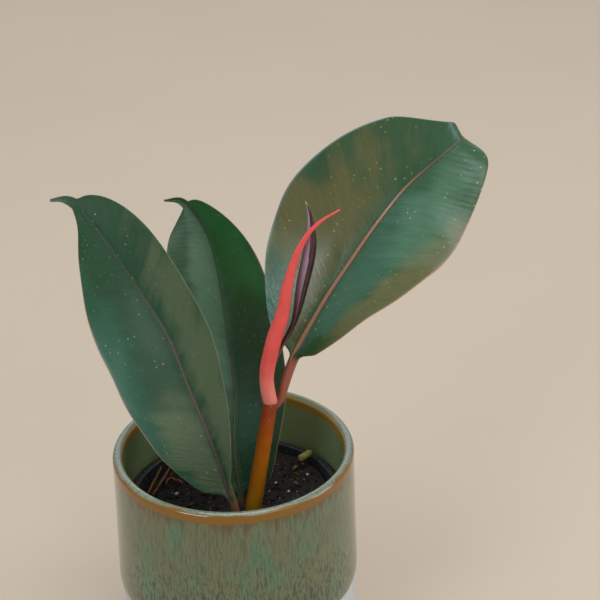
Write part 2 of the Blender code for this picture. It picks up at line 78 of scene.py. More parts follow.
# Each leaf: its petiole's and midrib's points from the soil line or from the stem's tip, then the
# shape of its blade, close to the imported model's.  "beak" widens the foot of the drip tip.  Towards
# the tip, the left half lies "left_drop" degrees flatter and is narrower by the share "left_trim".
LEAVES = {
    "leaf_front": {
        "from": (0.0, 0.0, SOIL_LINE),
        "petiole": [(0.0012, -0.0165, -0.0120), (0.0006, -0.0157, 0.0010)],
        "midrib": [(-0.0005, -0.0142, 0.0110), (-0.0109, -0.0066, 0.0452),
                   (-0.0203, 0.0014, 0.0692), (-0.0296, 0.0105, 0.0927),
                   (-0.0433, 0.0201, 0.1140), (-0.0574, 0.0259, 0.1363),
                   (-0.0693, 0.0300, 0.1516), (-0.0766, 0.0296, 0.1577),
                   (-0.0836, 0.0297, 0.1583)],
        "petiole_radius": 0.0021, "half_width": 0.0372, "fullness": 0.52, "widest": 1.15,
        "tip_share": 0.065, "beak": 0.0026, "twist": (-60, -17, -6, 51), "fold": 31,
        "left_drop": 0, "left_trim": 0.0, "curl": 25, "faces": (0.11, -0.88, 0.46),
    },
    "leaf_back": {
        "from": (0.0, 0.0, SOIL_LINE),
        "petiole": [(0.0030, 0.0026, -0.0120), (0.0028, 0.0022, -0.0040)],
        "midrib": [(0.0025, 0.0030, 0.0030), (0.0003, 0.0125, 0.0285),
                   (0.0014, 0.0265, 0.0508), (-0.0016, 0.0390, 0.0733),
                   (-0.0043, 0.0485, 0.0971), (-0.0091, 0.0570, 0.1209),
                   (-0.0153, 0.0596, 0.1337), (-0.0229, 0.0618, 0.1421),
                   (-0.0314, 0.0628, 0.1416)],
        "petiole_radius": 0.0022, "half_width": 0.0338, "fullness": 0.36, "widest": 1.03,
        "tip_share": 0.075, "beak": 0.0016, "twist": (6, -5, -9, -33), "fold": 25,
        "left_drop": 0, "left_trim": 0.0, "curl": 18, "faces": (0.04, -0.90, 0.45),
    },
    "leaf_right": {
        "from": STEM_TIP,
        "petiole": [(-0.0008, 0.0000, -0.0070), (0.0037, 0.0020, -0.0032),
                    (0.0066, 0.0036, 0.0050)],
        "midrib": [(0.0110, 0.0073, 0.0158), (0.0266, 0.0175, 0.0417),
                   (0.0398, 0.0250, 0.0593), (0.0533, 0.0320, 0.0766),
                   (0.0680, 0.0371, 0.0936), (0.0859, 0.0417, 0.1079),
                   (0.0945, 0.0475, 0.1125), (0.0950, 0.0560, 0.1105),
                   (0.0900, 0.0640, 0.1070)],
        "petiole_radius": 0.0024, "half_width": 0.0452, "fullness": 0.62, "widest": 1.0,
        "tip_share": 0.070, "beak": 0.0015, "twist": (-33, -28, -2, 16), "fold": 17,
        "left_drop": 18, "left_trim": 0.4, "curl": 12, "faces": (-0.04, -0.90, 0.43),
    },
}

# The open red sheath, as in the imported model: its middle line from the stem's tip, its radius as
# shares of the cup round the tip, and its half angle of wrap in degrees.
SHEATH_LINE = [(-0.0004, 0.0000, -0.0025), (-0.0014, 0.0000, 0.0120), (0.0025, -0.0005, 0.0300),
               (0.0075, -0.0005, 0.0460), (0.0105, -0.0006, 0.0630), (0.0165, -0.0014, 0.0825),
               (0.0240, -0.0023, 0.0935), (0.0345, -0.0020, 0.1005)]
SHEATH_SHARES = (1.0, 0.95, 1.07, 1.0, 0.77, 0.42, 0.23, 0.09)
SHEATH_WRAP = (112, 104, 92, 88, 88, 100, 110, 120)
SHEATH_CUP_RADIUS = 0.0043
SHEATH_FACES = (-0.87, -0.50, 0.0)

# The newest leaf, still rolled: its middle line from the stem's tip and its radii.
ROLLED_LINE = [(0.0001, 0.0001, 0.0006), (-0.0003, 0.0010, 0.0120), (0.0045, 0.0023, 0.0245),
               (0.0115, 0.0030, 0.0380), (0.0165, 0.0030, 0.0590), (0.0208, 0.0030, 0.0810),
               (0.0205, 0.0030, 0.0970), (0.0188, 0.0030, 0.1030)]
ROLLED_RADII = (0.0012, 0.00125, 0.0013, 0.0013, 0.0016, 0.0027, 0.0033, 0.0035, 0.0032, 0.0016,
                0.0002)


def linear(hex_colour):
    """Turn an sRGB hex colour into linear red, green and blue."""
    channels = [int(hex_colour[i:i + 2], 16) / 255 for i in (1, 3, 5)]
    return tuple(c / 12.92 if c <= 0.04045 else ((c + 0.055) / 1.055) ** 2.4 for c in channels)


class PotSettings(bpy.types.PropertyGroup):
    """Sizes and glaze colours of the cover pot and its liner."""

    wall: FloatProperty(name="Wall", description="Thickness of the cover pot's wall",
                        default=0.0049, min=0.002, unit="LENGTH")
    glaze_drop: FloatProperty(name="Glaze Drop", description="From the lip to the glaze's edge",
                              default=0.072, min=0.02, unit="LENGTH")
    glaze_roll: FloatProperty(name="Glaze Roll", description="How far the glaze's edge stands out",
                              default=0.0010, min=0.0, unit="LENGTH")
    sage: FloatVectorProperty(name="Sage", description="Main colour of the glaze",
                              default=linear("#6C6E50"), size=3, subtype="COLOR")
    teal: FloatVectorProperty(name="Teal", description="Colour where the glaze pooled thick",
                              default=linear("#4C7A5C"), size=3, subtype="COLOR")
    moss: FloatVectorProperty(name="Moss", description="Colour of the fine dark streaks",
                              default=linear("#484A32"), size=3, subtype="COLOR")
    lichen: FloatVectorProperty(name="Lichen", description="Colour of the light flecks low down",
                                default=linear("#707E44"), size=3, subtype="COLOR")
    bronze: FloatVectorProperty(name="Bronze", description="Colour of the drips under the lip",
                                default=linear("#5E4A28"), size=3, subtype="COLOR")
    fleck: FloatVectorProperty(name="Fleck", description="Colour of the dark running flecks",
                               default=linear("#37433C"), size=3, subtype="COLOR")
    amber: FloatVectorProperty(name="Amber", description="Colour where the glaze breaks at the lip",
                               default=linear("#845600"), size=3, subtype="COLOR")
    lip: FloatVectorProperty(name="Lip", description="Colour of the glaze on top of the lip",
                             default=linear("#7E8670"), size=3, subtype="COLOR")
    # Partly painted light: the inside glaze is paler than the glaze outside, standing in for light on
    # the inner wall.
    inside: FloatVectorProperty(name="Inside", description="Colour of the glaze inside the pot",
                                default=linear("#8C9C6C"), size=3, subtype="COLOR")
    clay: FloatVectorProperty(name="Bare Clay", description="Colour of the matt band at the foot",
                              default=linear("#D9D7D3"), size=3, subtype="COLOR")
    liner: FloatVectorProperty(name="Liner", description="Colour of the plastic nursery pot",
                               default=linear("#2C3232"), size=3, subtype="COLOR")


class SoilSettings(bpy.types.PropertyGroup):
    """Colours and crumbs of the potting mix."""

    peat: FloatVectorProperty(name="Peat", description="Colour of the damp peat",
                              default=linear("#1A1512"), size=3, subtype="COLOR")
    crumbs: IntProperty(name="Crumbs", description="How many loose crumbs lie on the soil",
                        default=1500, min=0)
    crumb_size: FloatProperty(name="Crumb Size", description="Radius of a large crumb",
                              default=0.0011, min=0.0002, unit="LENGTH")
    perlite: FloatVectorProperty(name="Perlite", description="Colour of the perlite grains",
                                 default=linear("#E0DBCB"), size=3, subtype="COLOR")
    bark: FloatVectorProperty(name="Bark", description="Colour of the bark chips",
                              default=linear("#8A6A45"), size=3, subtype="COLOR")
    dried: FloatVectorProperty(name="Dried", description="Colour of the dried strips and root",
                               default=linear("#A4683A"), size=3, subtype="COLOR")


class LeafSettings(bpy.types.PropertyGroup):
    """Sizes and colours of the three open leaves."""

    thickness: FloatProperty(name="Thickness", description="Thickness of a blade",
                             default=0.0007, min=0.0002, unit="LENGTH")
    rib_radius: FloatProperty(name="Midrib", description="Half the width of a midrib",
                              default=0.0012, min=0.0003, unit="LENGTH")
    vein_spacing: FloatProperty(name="Vein Spacing", description="Between two side veins",
                                default=0.0034, min=0.0005, unit="LENGTH")
    vein_relief: FloatProperty(name="Vein Relief", description="Depth of the side veins",
                               default=0.00006, min=0.0, unit="LENGTH")
    green: FloatVectorProperty(name="Green", description="Main colour of the upper face",
                               default=linear("#365A3C"), size=3, subtype="COLOR")
    deep: FloatVectorProperty(name="Deep", description="Colour of the darkest zones",
                              default=linear("#26441F"), size=3, subtype="COLOR")
    vivid: FloatVectorProperty(name="Vivid", description="Colour of the clear green zones",
                               default=linear("#306C36"), size=3, subtype="COLOR")
    # Partly painted reflection: leaf_back's pale strip uses this colour for the window's sheen on the
    # wax.
    pale: FloatVectorProperty(name="Pale", description="Colour of the paler grey green zones",
                              default=linear("#5E8468"), size=3, subtype="COLOR")
    # Partly painted reflection: the bluish zones carry the window's sheen on the wax as well as the
    # leaf's own tone.
    teal: FloatVectorProperty(name="Teal", description="Colour of the bluish zones",
                              default=linear("#3C6650"), size=3, subtype="COLOR")
    grey: FloatVectorProperty(name="Grey", description="Colour of the greyed green zones",
                              default=linear("#3E5A48"), size=3, subtype="COLOR")
    sage: FloatVectorProperty(name="Sage", description="Colour of the zones between both",
                              default=linear("#6C7859"), size=3, subtype="COLOR")
    olive: FloatVectorProperty(name="Olive", description="Colour of the bronzed zones",
                               default=linear("#66653F"), size=3, subtype="COLOR")
    under: FloatVectorProperty(name="Underside", description="Colour of the lower face",
                               default=linear("#6E7A4E"), size=3, subtype="COLOR")
    margin: FloatVectorProperty(name="Margin", description="Colour of the thin edge line",
                                default=linear("#A77A62"), size=3, subtype="COLOR")
    speckle: FloatVectorProperty(name="Speckle", description="Colour of the small pale spots",
                                 default=linear("#B9BF6A"), size=3, subtype="COLOR")


class ShootSettings(bpy.types.PropertyGroup):
    """Sizes and colours of the stem, the red sheath and the rolled leaf."""

    foot_radius: FloatProperty(name="Foot Radius", description="Radius of the stem at the soil",
                               default=0.0042, min=0.001, unit="LENGTH")
    top_radius: FloatProperty(name="Top Radius", description="Radius of the stem at its tip",
                              default=0.0034, min=0.001, unit="LENGTH")
    stem_low: FloatVectorProperty(name="Stem Foot", description="Colour of the stem at the soil",
                                  default=linear("#A06C0A"), size=3, subtype="COLOR")
    stem_mid: FloatVectorProperty(name="Stem Middle", description="Colour half way up the stem",
                                  default=linear("#BE6412"), size=3, subtype="COLOR")
    stem_high: FloatVectorProperty(name="Stem Top", description="Colour of the stem at its tip",
                                   default=linear("#96380E"), size=3, subtype="COLOR")
    sheath: FloatVectorProperty(name="Sheath", description="Colour of the bud sheath",
                                default=linear("#FF5C56"), size=3, subtype="COLOR")
    cuff: FloatVectorProperty(name="Cuff", description="Colour of the sheath near the stem",
                              default=linear("#F89280"), size=3, subtype="COLOR")
    rolled: FloatVectorProperty(name="Rolled Leaf", description="Colour of the newest leaf",
                                default=linear("#4A1A26"), size=3, subtype="COLOR")


class StageSettings(bpy.types.PropertyGroup):
    """The camera, the floor and the lights."""

    lens: FloatProperty(name="Lens", description="Focal length in millimetres", default=114.0)
    camera_at: FloatVectorProperty(name="Camera", description="Where the camera stands",
                                   default=(0.0351, -0.7979, 0.6258), size=3, unit="LENGTH")
    pitch: FloatProperty(name="Pitch", description="How far the camera looks down",
                         default=math.radians(28.22), unit="ROTATION")
    roll: FloatProperty(name="Roll", description="How far the camera leans",
                        default=math.radians(-1.53), unit="ROTATION")
    floor: FloatVectorProperty(name="Floor", description="Colour of the plain floor",
                               default=linear("#D4C1AB"), size=3, subtype="COLOR")
    key: FloatProperty(name="Key", description="Power of the overhead softbox in watts",
                       default=9.0, min=0.0)
    fill: FloatProperty(name="Fill", description="Power of the broad front light in watts",
                        default=5.0, min=0.0)
    window: FloatProperty(name="Window", description="Power of each cool window in watts",
                          default=4.6, min=0.0)
    room: FloatProperty(name="Room", description="Brightness of the pale room all round",
                        default=0.46, min=0.0)


def add_node(tree, kind, settings, inputs, stops=()):
    """Add one shader node: settings go on the node, an input holds a value or what feeds it."""
    node = tree.nodes.new(kind)
    for name, value in settings.items():
        setattr(node, name, value)
    for name, value in inputs.items():
        socket = node.inputs[name]
        if isinstance(value, bpy.types.NodeSocket):
            tree.links.new(value, socket)
        elif isinstance(value, (tuple, list)) and socket.type == "RGBA":
            socket.default_value = (*value[:3], 1.0)
        else:
            socket.default_value = value
    for place, (at, shade) in enumerate(stops):
        ramp = node.color_ramp.elements
        stop = ramp[place] if place < len(ramp) else ramp.new(at)
        stop.position = at
        stop.color = (*shade[:3], 1.0)
    return node


def new_material(name, roughness, ior, extra):
    """A material with its tree and its Principled shader, whose plain values are set here."""
    made = bpy.data.materials.new(name)
    made.use_nodes = True
    tree = made.node_tree
    shader = tree.nodes["Principled BSDF"]
    shader.inputs["Roughness"].default_value = roughness
    shader.inputs["IOR"].default_value = ior
    for socket, value in extra.items():
        shader.inputs[socket].default_value = value
    return made, tree, shader


def mesh_piece(name, points, faces, finishes, finish_of=None, layers=None):
    """Make a smooth mesh piece from points and faces, with its materials and UV layers."""
    mesh = bpy.data.meshes.new(name)
    mesh.from_pydata([tuple(p) for p in points], [], faces)
    for finish in finishes:
        mesh.materials.append(finish)
    if finish_of is not None:
        mesh.polygons.foreach_set("material_index", finish_of)
    loops = np.empty(len(mesh.loops), int)
    mesh.loops.foreach_get("vertex_index", loops)
    for title, values in (layers or {}).items():
        layer = mesh.uv_layers.new(name=title)
        layer.data.foreach_set("uv", np.asarray(values, float)[loops].ravel())
    build = bmesh.new()
    build.from_mesh(mesh)
    bmesh.ops.recalc_face_normals(build, faces=build.faces)
    build.to_mesh(mesh)
    build.free()
    mesh.shade_smooth()
    piece = bpy.data.objects.new(name, mesh)
    bpy.context.scene.collection.objects.link(piece)
    return piece


def stands_for(piece, slot, *nodes):
    """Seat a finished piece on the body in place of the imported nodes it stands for."""
    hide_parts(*nodes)
    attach(piece, "root")


def skin_faces(rings, around):
    """Faces of a closed loft whose rings follow one another in the point list, ends last."""
    faces = []
    for i in range(rings - 1):
        for j in range(around):
            k = (j + 1) % around
            faces.append((i * around + j, i * around + k, (i + 1) * around + k,
                          (i + 1) * around + j))
    faces.append(tuple(range(around))[::-1])
    faces.append(tuple(range((rings - 1) * around, rings * around)))
    return faces


def spline(points, samples):
    """Samples along a centripetal Catmull-Rom curve through the points, and its length."""
    knots = [np.array(p, float) for p in points]
    knots = [2 * knots[0] - knots[1]] + knots + [2 * knots[-1] - knots[-2]]
    fine = []
    for p0, p1, p2, p3 in zip(knots, knots[1:], knots[2:], knots[3:]):
        t1 = math.sqrt(np.linalg.norm(p1 - p0))
        t2 = t1 + math.sqrt(np.linalg.norm(p2 - p1))
        t3 = t2 + math.sqrt(np.linalg.norm(p3 - p2))
        for t in np.linspace(t1, t2, 24, endpoint=False):
            a1 = p0 * (t1 - t) / t1 + p1 * t / t1
            a2 = p1 * (t2 - t) / (t2 - t1) + p2 * (t - t1) / (t2 - t1)
            a3 = p2 * (t3 - t) / (t3 - t2) + p3 * (t - t2) / (t3 - t2)
            b1 = a1 * (t2 - t) / t2 + a2 * t / t2
            b2 = a2 * (t3 - t) / (t3 - t1) + a3 * (t - t1) / (t3 - t1)
            fine.append(b1 * (t2 - t) / (t2 - t1) + b2 * (t - t1) / (t2 - t1))
    fine.append(knots[-2])
    fine = np.array(fine)
    steps = np.linalg.norm(np.diff(fine, axis=0), axis=1)
    along = np.concatenate(([0.0], np.cumsum(steps)))
    wanted = np.asarray(samples) * along[-1]
    line = np.stack([np.interp(wanted, along, fine[:, k]) for k in range(3)], axis=1)
    return line, along[-1]


def rail_frames(line, faces, ease=1):
    """Normal and side at each point of a rail, eased over a few points and never spinning."""
    tangents = np.gradient(line, axis=0)
    tangents /= np.linalg.norm(tangents, axis=1)[:, None]
    window = np.hanning(ease + 2)[1:-1]
    padded = np.pad(tangents, ((ease // 2, ease // 2), (0, 0)), "edge")
    tangents = np.stack([np.convolve(padded[:, k], window, "valid") for k in range(3)], axis=1)
    tangents /= np.linalg.norm(tangents, axis=1)[:, None]
    normal = np.array(faces, float)
    normals = []
    for tangent in tangents:
        normal = normal - normal.dot(tangent) * tangent
        normal /= np.linalg.norm(normal)
        normals.append(normal.copy())
    normals = np.array(normals)
    return normals, np.cross(tangents, normals)


def eased(values, samples, reach):
    """Values spread evenly along a rail, smoothed over a short reach and read at the samples."""
    places = np.linspace(0, 1, 400)
    rough = np.interp(places, np.linspace(0, 1, len(values)), values)
    window = np.ones(2 * reach + 1) / (2 * reach + 1)
    smooth = np.convolve(np.pad(rough, reach, "edge"), window, "valid")
    return np.interp(samples, places, smooth)


def from_tip(points):
    """Move points given from the stem's tip to their real place."""
    return [tuple(np.add(point, STEM_TIP)) for point in points]


def running_glaze(tree, pot, place, tall):
    """The glaze's two main colours, with the fine dark streaks that ran down through them."""
    # Fine dark streaks 0.7 mm across and about 7 mm long.
    streaks = add_node(tree, "ShaderNodeTexNoise", {},
                       {"Vector": tall.outputs[0], "Scale": 1400.0, "Detail": 3.0,
                        "Roughness": 0.6})
    # Clouds 20 mm across and twice as tall, where the glaze pooled.
    slow = add_node(tree, "ShaderNodeMapping", {}, {"Vector": place, "Scale": (1.0, 1.0, 0.45)})
    clouds = add_node(tree, "ShaderNodeTexNoise", {},
                      {"Vector": slow.outputs[0], "Scale": 48.0, "Detail": 4.0,
                       "Roughness": 0.6, "Distortion": 0.3})
    pooled = add_node(tree, "ShaderNodeMapRange", {"interpolation_type": "SMOOTHSTEP"},
                      {"Value": clouds.outputs["Fac"], "From Min": 0.42, "From Max": 0.66,
                       "To Max": 0.9})
    body = add_node(tree, "ShaderNodeMix", {"data_type": "RGBA"},
                    {0: pooled.outputs[0], 6: tuple(pot.sage), 7: tuple(pot.teal)})
    runs = add_node(tree, "ShaderNodeMapRange", {"interpolation_type": "SMOOTHSTEP"},
                    {"Value": streaks.outputs["Fac"], "From Min": 0.44, "From Max": 0.66,
                     "To Max": 0.65})
    ran = add_node(tree, "ShaderNodeMix", {"data_type": "RGBA"},
                   {0: runs.outputs[0], 6: body.outputs[2], 7: tuple(pot.moss)})
    return ran.outputs[2]


def glaze_flecks(tree, pot, place, drop, colour):
    """Fleck the glaze dark and lichen green."""
    # Dark flecks 1.3 mm wide and 4 mm long, more of them lower down, and lichen green ones there.
    fleck_place = add_node(tree, "ShaderNodeMapping", {},
                           {"Vector": place, "Scale": (1.0, 1.0, 0.30), "Location": (0.3, 0.1, 0)})
    flecks = add_node(tree, "ShaderNodeTexNoise", {},
                      {"Vector": fleck_place.outputs[0], "Scale": 780.0, "Detail": 3.0,
                       "Roughness": 0.6})
    lower = add_node(tree, "ShaderNodeMapRange", {},
                     {"Value": drop.outputs[0], "From Min": 8.0, "From Max": 55.0,
                      "To Min": -0.68, "To Max": -0.50})
    fleck_step = add_node(tree, "ShaderNodeMath", {"operation": "ADD"},
                          {0: flecks.outputs["Fac"], 1: lower.outputs[0]})
    fleck_share = add_node(tree, "ShaderNodeMapRange", {"interpolation_type": "SMOOTHSTEP"},
                           {"Value": fleck_step.outputs[0], "From Min": 0.0, "From Max": 0.09,
                            "To Max": 0.85})
    flecked = add_node(tree, "ShaderNodeMix", {"data_type": "RGBA"},
                       {0: fleck_share.outputs[0], 6: colour, 7: tuple(pot.fleck)})
    lichen_share = add_node(tree, "ShaderNodeMapRange", {"interpolation_type": "SMOOTHSTEP"},
                            {"Value": fleck_step.outputs[0], "From Min": -0.16,
                             "From Max": -0.06, "To Min": 0.75, "To Max": 0.0})
    deep_share = add_node(tree, "ShaderNodeMapRange", {},
                          {"Value": drop.outputs[0], "From Min": 30.0, "From Max": 55.0})
    lichen = add_node(tree, "ShaderNodeMath", {"operation": "MULTIPLY"},
                      {0: lichen_share.outputs[0], 1: deep_share.outputs[0]})
    mossy = add_node(tree, "ShaderNodeMix", {"data_type": "RGBA"},
                     {0: lichen.outputs[0], 6: flecked.outputs[2], 7: tuple(pot.lichen)})
    return mossy.outputs[2]


def bronze_drips(tree, pot, tall, drop, colour):
    """A bronze halo under the lip that runs down in drips 2 mm wide."""
    drips = add_node(tree, "ShaderNodeTexNoise", {},
                     {"Vector": tall.outputs[0], "Scale": 520.0, "Detail": 3.0,
                      "Roughness": 0.6})
    drip_drop = add_node(tree, "ShaderNodeMath", {"operation": "MULTIPLY_ADD"},
                         {0: drips.outputs["Fac"], 1: -30.0, 2: drop.outputs[0]})
    halo = add_node(tree, "ShaderNodeMapRange", {"interpolation_type": "SMOOTHSTEP"},
                    {"Value": drip_drop.outputs[0], "From Min": -11.0, "From Max": -4.0,
                     "To Min": 0.9, "To Max": 0.0})
    haloed = add_node(tree, "ShaderNodeMix", {"data_type": "RGBA"},
                      {0: halo.outputs[0], 6: colour, 7: tuple(pot.bronze)})
    return haloed.outputs[2]


def reactive_glaze(pot):
    """Stoneware under a reactive glaze: glass-smooth, and broken into running colours."""
    made, tree, shader = new_material("reactive glazed stoneware", 0.16, 1.52,
                                      {"Coat Weight": 0.35, "Coat Roughness": 0.04,
                                       "Coat IOR": 1.5})
    place = add_node(tree, "ShaderNodeTexCoord", {}, {}).outputs["Object"]
    split = add_node(tree, "ShaderNodeSeparateXYZ", {}, {"Vector": place})
    flat = add_node(tree, "ShaderNodeVectorMath", {"operation": "MULTIPLY"},
                    {0: place, 1: (1.0, 1.0, 0.0)})
    reach = add_node(tree, "ShaderNodeVectorMath", {"operation": "LENGTH"}, {0: flat.outputs[0]})
    # Millimetres below the lip's crest.
    drop = add_node(tree, "ShaderNodeMapRange", {"clamp": False},
                    {"Value": split.outputs["Z"], "From Min": POT_HEIGHT,
                     "From Max": POT_HEIGHT - 0.1, "To Min": 0.0, "To Max": 100.0})
    # Drawn out ten times along the pot's height, for whatever ran down.
    tall = add_node(tree, "ShaderNodeMapping", {}, {"Vector": place, "Scale": (1.0, 1.0, 0.10)})
    body = running_glaze(tree, pot, place, tall)
    flecked = glaze_flecks(tree, pot, place, drop, body)
    haloed = bronze_drips(tree, pot, tall, drop, flecked)
    # The amber break, where the glaze thins over the lip's lower edge.
    waves = add_node(tree, "ShaderNodeTexNoise", {},
                     {"Vector": place, "Scale": 60.0, "Detail": 2.0})
    wavy_drop = add_node(tree, "ShaderNodeMath", {"operation": "MULTIPLY_ADD"},
                         {0: waves.outputs["Fac"], 1: -2.6, 2: drop.outputs[0]})
    amber_end = add_node(tree, "ShaderNodeMapRange", {"interpolation_type": "SMOOTHSTEP"},
                         {"Value": wavy_drop.outputs[0], "From Min": 3.2, "From Max": 4.6,
                          "To Min": 1.0, "To Max": 0.0})
    outer = add_node(tree, "ShaderNodeMix", {"data_type": "RGBA"},
                     {0: amber_end.outputs[0], 6: haloed, 7: tuple(pot.amber)})
    # Inside, the amber band fades into plain green glass. Both inside colours are painted paler than
    # the glaze outside: painted light on the inner wall, over the glaze's own colour.
    inner_band = add_node(tree, "ShaderNodeMapRange", {"interpolation_type": "SMOOTHSTEP"},
                          {"Value": wavy_drop.outputs[0], "From Min": 3.6, "From Max": 6.0,
                           "To Min": 1.0, "To Max": 0.0})
    inner = add_node(tree, "ShaderNodeMix", {"data_type": "RGBA"},
                     {0: inner_band.outputs[0], 6: tuple(pot.inside), 7: linear("#B08A3E")})
    outside = add_node(tree, "ShaderNodeMapRange", {},
                       {"Value": reach.outputs["Value"], "From Min": SWOLLEN_RADIUS - 0.0037,
                        "From Max": SWOLLEN_RADIUS - 0.0028})
    sides = add_node(tree, "ShaderNodeMix", {"data_type": "RGBA"},
                     {0: outside.outputs[0], 6: inner.outputs[2], 7: outer.outputs[2]})
    # The crest keeps a milky grey green skin with blue grey specks of 0.9 mm.
    crest = add_node(tree, "ShaderNodeMapRange", {"interpolation_type": "SMOOTHSTEP"},
                     {"Value": wavy_drop.outputs[0], "From Min": -1.0, "From Max": -0.2,
                      "To Min": 1.0, "To Max": 0.0})
    specks = add_node(tree, "ShaderNodeTexNoise", {},
                      {"Vector": place, "Scale": 1100.0, "Detail": 2.0})
    speck_share = add_node(tree, "ShaderNodeMapRange", {},
                           {"Value": specks.outputs["Fac"], "From Min": 0.50, "From Max": 0.66,
                            "To Max": 0.6})
    skin = add_node(tree, "ShaderNodeMix", {"data_type": "RGBA"},
                    {0: speck_share.outputs[0], 6: tuple(pot.lip), 7: tuple(pot.fleck)})
    whole = add_node(tree, "ShaderNodeMix", {"data_type": "RGBA"},
                     {0: crest.outputs[0], 6: sides.outputs[2], 7: skin.outputs[2]})
    tree.links.new(whole.outputs[2], shader.inputs["Base Color"])
    # Orange peel 2 mm across, as on any thick glaze.
    peel = add_node(tree, "ShaderNodeTexNoise", {}, {"Vector": place, "Scale": 420.0})
    add_bump(tree, shader, peel.outputs["Fac"], 0.00005, 0.35)
    return made


def add_bump(tree, shader, height, distance, strength):
    """Feed a height into the shader's normal."""
    bump = add_node(tree, "ShaderNodeBump", {},
                    {"Height": height, "Distance": distance, "Strength": strength})
    tree.links.new(bump.outputs[0], shader.inputs["Normal"])


def bisque_clay(pot):
    """Unglazed fired stoneware: pale, dry and chalky, with a fine sandy tooth."""
    made, tree, shader = new_material("unglazed stoneware", 0.85, 1.5, {})
    place = add_node(tree, "ShaderNodeTexCoord", {}, {}).outputs["Object"]
    # Sand grains of 0.4 mm and stains of 20 mm.
    sand = add_node(tree, "ShaderNodeTexNoise", {},
                    {"Vector": place, "Scale": 2500.0, "Detail": 3.0})
    stains = add_node(tree, "ShaderNodeTexNoise", {},
                      {"Vector": place, "Scale": 50.0, "Detail": 3.0})
    blend = add_node(tree, "ShaderNodeMath", {"operation": "MULTIPLY"},
                     {0: sand.outputs["Fac"], 1: stains.outputs["Fac"]})
    dark = tuple(0.72 * c for c in pot.clay)
    ramp = add_node(tree, "ShaderNodeValToRGB", {}, {"Fac": blend.outputs[0]},
                    ((0.10, dark), (0.34, tuple(pot.clay))))
    tree.links.new(ramp.outputs[0], shader.inputs["Base Color"])
    add_bump(tree, shader, sand.outputs["Fac"], 0.0001, 0.4)
    return made


class BuildCoverPot(bpy.types.Operator):
    """Turn the glazed cover pot at full smoothness, with the rolled edge of its glaze"""

    bl_idname = "rubber_plant.cover_pot"
    bl_label = "Cover Pot"

    def execute(self, context):
        """Turn a fine profile whose glaze edge wanders up and down round the pot."""
        pot = context.scene.plant_pot
        around = 240
        lip = pot.wall / 2
        top = SWOLLEN_RADIUS - POT_SWELL
        clay = SWOLLEN_RADIUS - pot.glaze_roll
        edge_z = POT_HEIGHT - pot.glaze_drop
        inner = top - pot.wall
        middle, foot_round, corner, floor_z = 0.0005, 0.0015, 0.004, 0.006
        # Each point: radius, height, and how far it follows the wandering edge of the glaze.
        profile = [(middle, 0.0, 0), (0.02, 0.0, 0), (clay - 0.0035, 0.0, 0)]
        profile += [(clay - foot_round + foot_round * math.sin(a),
                     foot_round - foot_round * math.cos(a), 0)
                    for a in np.linspace(0, math.pi / 2, 6)]
        profile += [(clay, z, 0) for z in np.linspace(0.004, edge_z - 0.006, 10)]
        profile += [(clay, edge_z - 0.003, 0.6), (clay, edge_z - 0.0006, 1)]
        clay_rows = len(profile)
        profile += [(clay + pot.glaze_roll * s, edge_z + 0.001 * t, 1)
                    for s, t in ((0.22, -0.45), (0.40, -0.15), (0.52, 0.3), (0.70, 1.4),
                                 (0.86, 2.8), (0.97, 4.4), (1.0, 6.0))]
        for z in np.linspace(edge_z + 0.0075, POT_HEIGHT - 0.008, 24):
            share = (z - edge_z - 0.0075) / (POT_HEIGHT - 0.0155 - edge_z)
            hold = max(0.0, 1 - (z - edge_z) / 0.012)
            profile.append((top + POT_SWELL * (1 - share) ** 1.6, z, hold))
        profile += [(top, POT_HEIGHT - 0.005, 0), (top + 0.00002, POT_HEIGHT - 0.0035, 0)]
        profile += [(top - lip + lip * math.cos(a), POT_HEIGHT - lip + lip * math.sin(a), 0)
                    for a in np.linspace(0, math.pi, 22)]
        profile += [(inner, z, 0) for z in np.linspace(POT_HEIGHT - 0.004, 2 * floor_z, 14)]
        profile += [(inner - corner + corner * math.cos(a),
                     floor_z + corner - corner * math.sin(a), 0)
                    for a in np.linspace(0.2, math.pi / 2, 6)]
        profile += [(0.02, floor_z, 0), (middle, floor_z, 0)]
        points = []
        for radius, z, hold in profile:
            for k in range(around):
                turn = 2 * math.pi * k / around
                wander = 0.0004 * math.sin(3 * turn + 0.6) + 0.00025 * math.sin(11 * turn)
                wander += 0.00025 * math.sin(23 * turn + 2.0)
                points.append((radius * math.cos(turn), radius * math.sin(turn),
                               z + hold * wander))
        faces = skin_faces(len(profile), around)
        finish_of = [0] * len(faces)
        for row in range(clay_rows - 1):
            finish_of[row * around:(row + 1) * around] = [1] * around
        finish_of[-2] = 1
        piece = mesh_piece("glazed_cover_pot", points, faces,
                           [reactive_glaze(pot), bisque_clay(pot)], finish_of)
        stands_for(piece, "glazed_stoneware", "cover_pot")
        return {"FINISHED"}


def moulded_plastic(pot):
    """Black polypropylene, thin-moulded: satin, with patches of dust and dried water."""
    made, tree, shader = new_material("moulded black polypropylene", 0.25, 1.49, {})
    place = add_node(tree, "ShaderNodeTexCoord", {}, {}).outputs["Object"]
    # Dust and dried water marks 4 mm across.
    dust = add_node(tree, "ShaderNodeTexNoise", {},
                    {"Vector": place, "Scale": 260.0, "Detail": 4.0, "Roughness": 0.65})
    share = add_node(tree, "ShaderNodeMapRange", {},
                     {"Value": dust.outputs["Fac"], "From Min": 0.48, "From Max": 0.75,
                      "To Max": 0.18})
    dusty = add_node(tree, "ShaderNodeMix", {"data_type": "RGBA"},
                     {0: share.outputs[0], 6: tuple(pot.liner), 7: linear("#6E7672")})
    tree.links.new(dusty.outputs[2], shader.inputs["Base Color"])
    rough = add_node(tree, "ShaderNodeMapRange", {},
                     {"Value": dust.outputs["Fac"], "To Min": 0.16, "To Max": 0.36})
    tree.links.new(rough.outputs[0], shader.inputs["Roughness"])
    add_bump(tree, shader, dust.outputs["Fac"], 0.00005, 0.3)
    return made


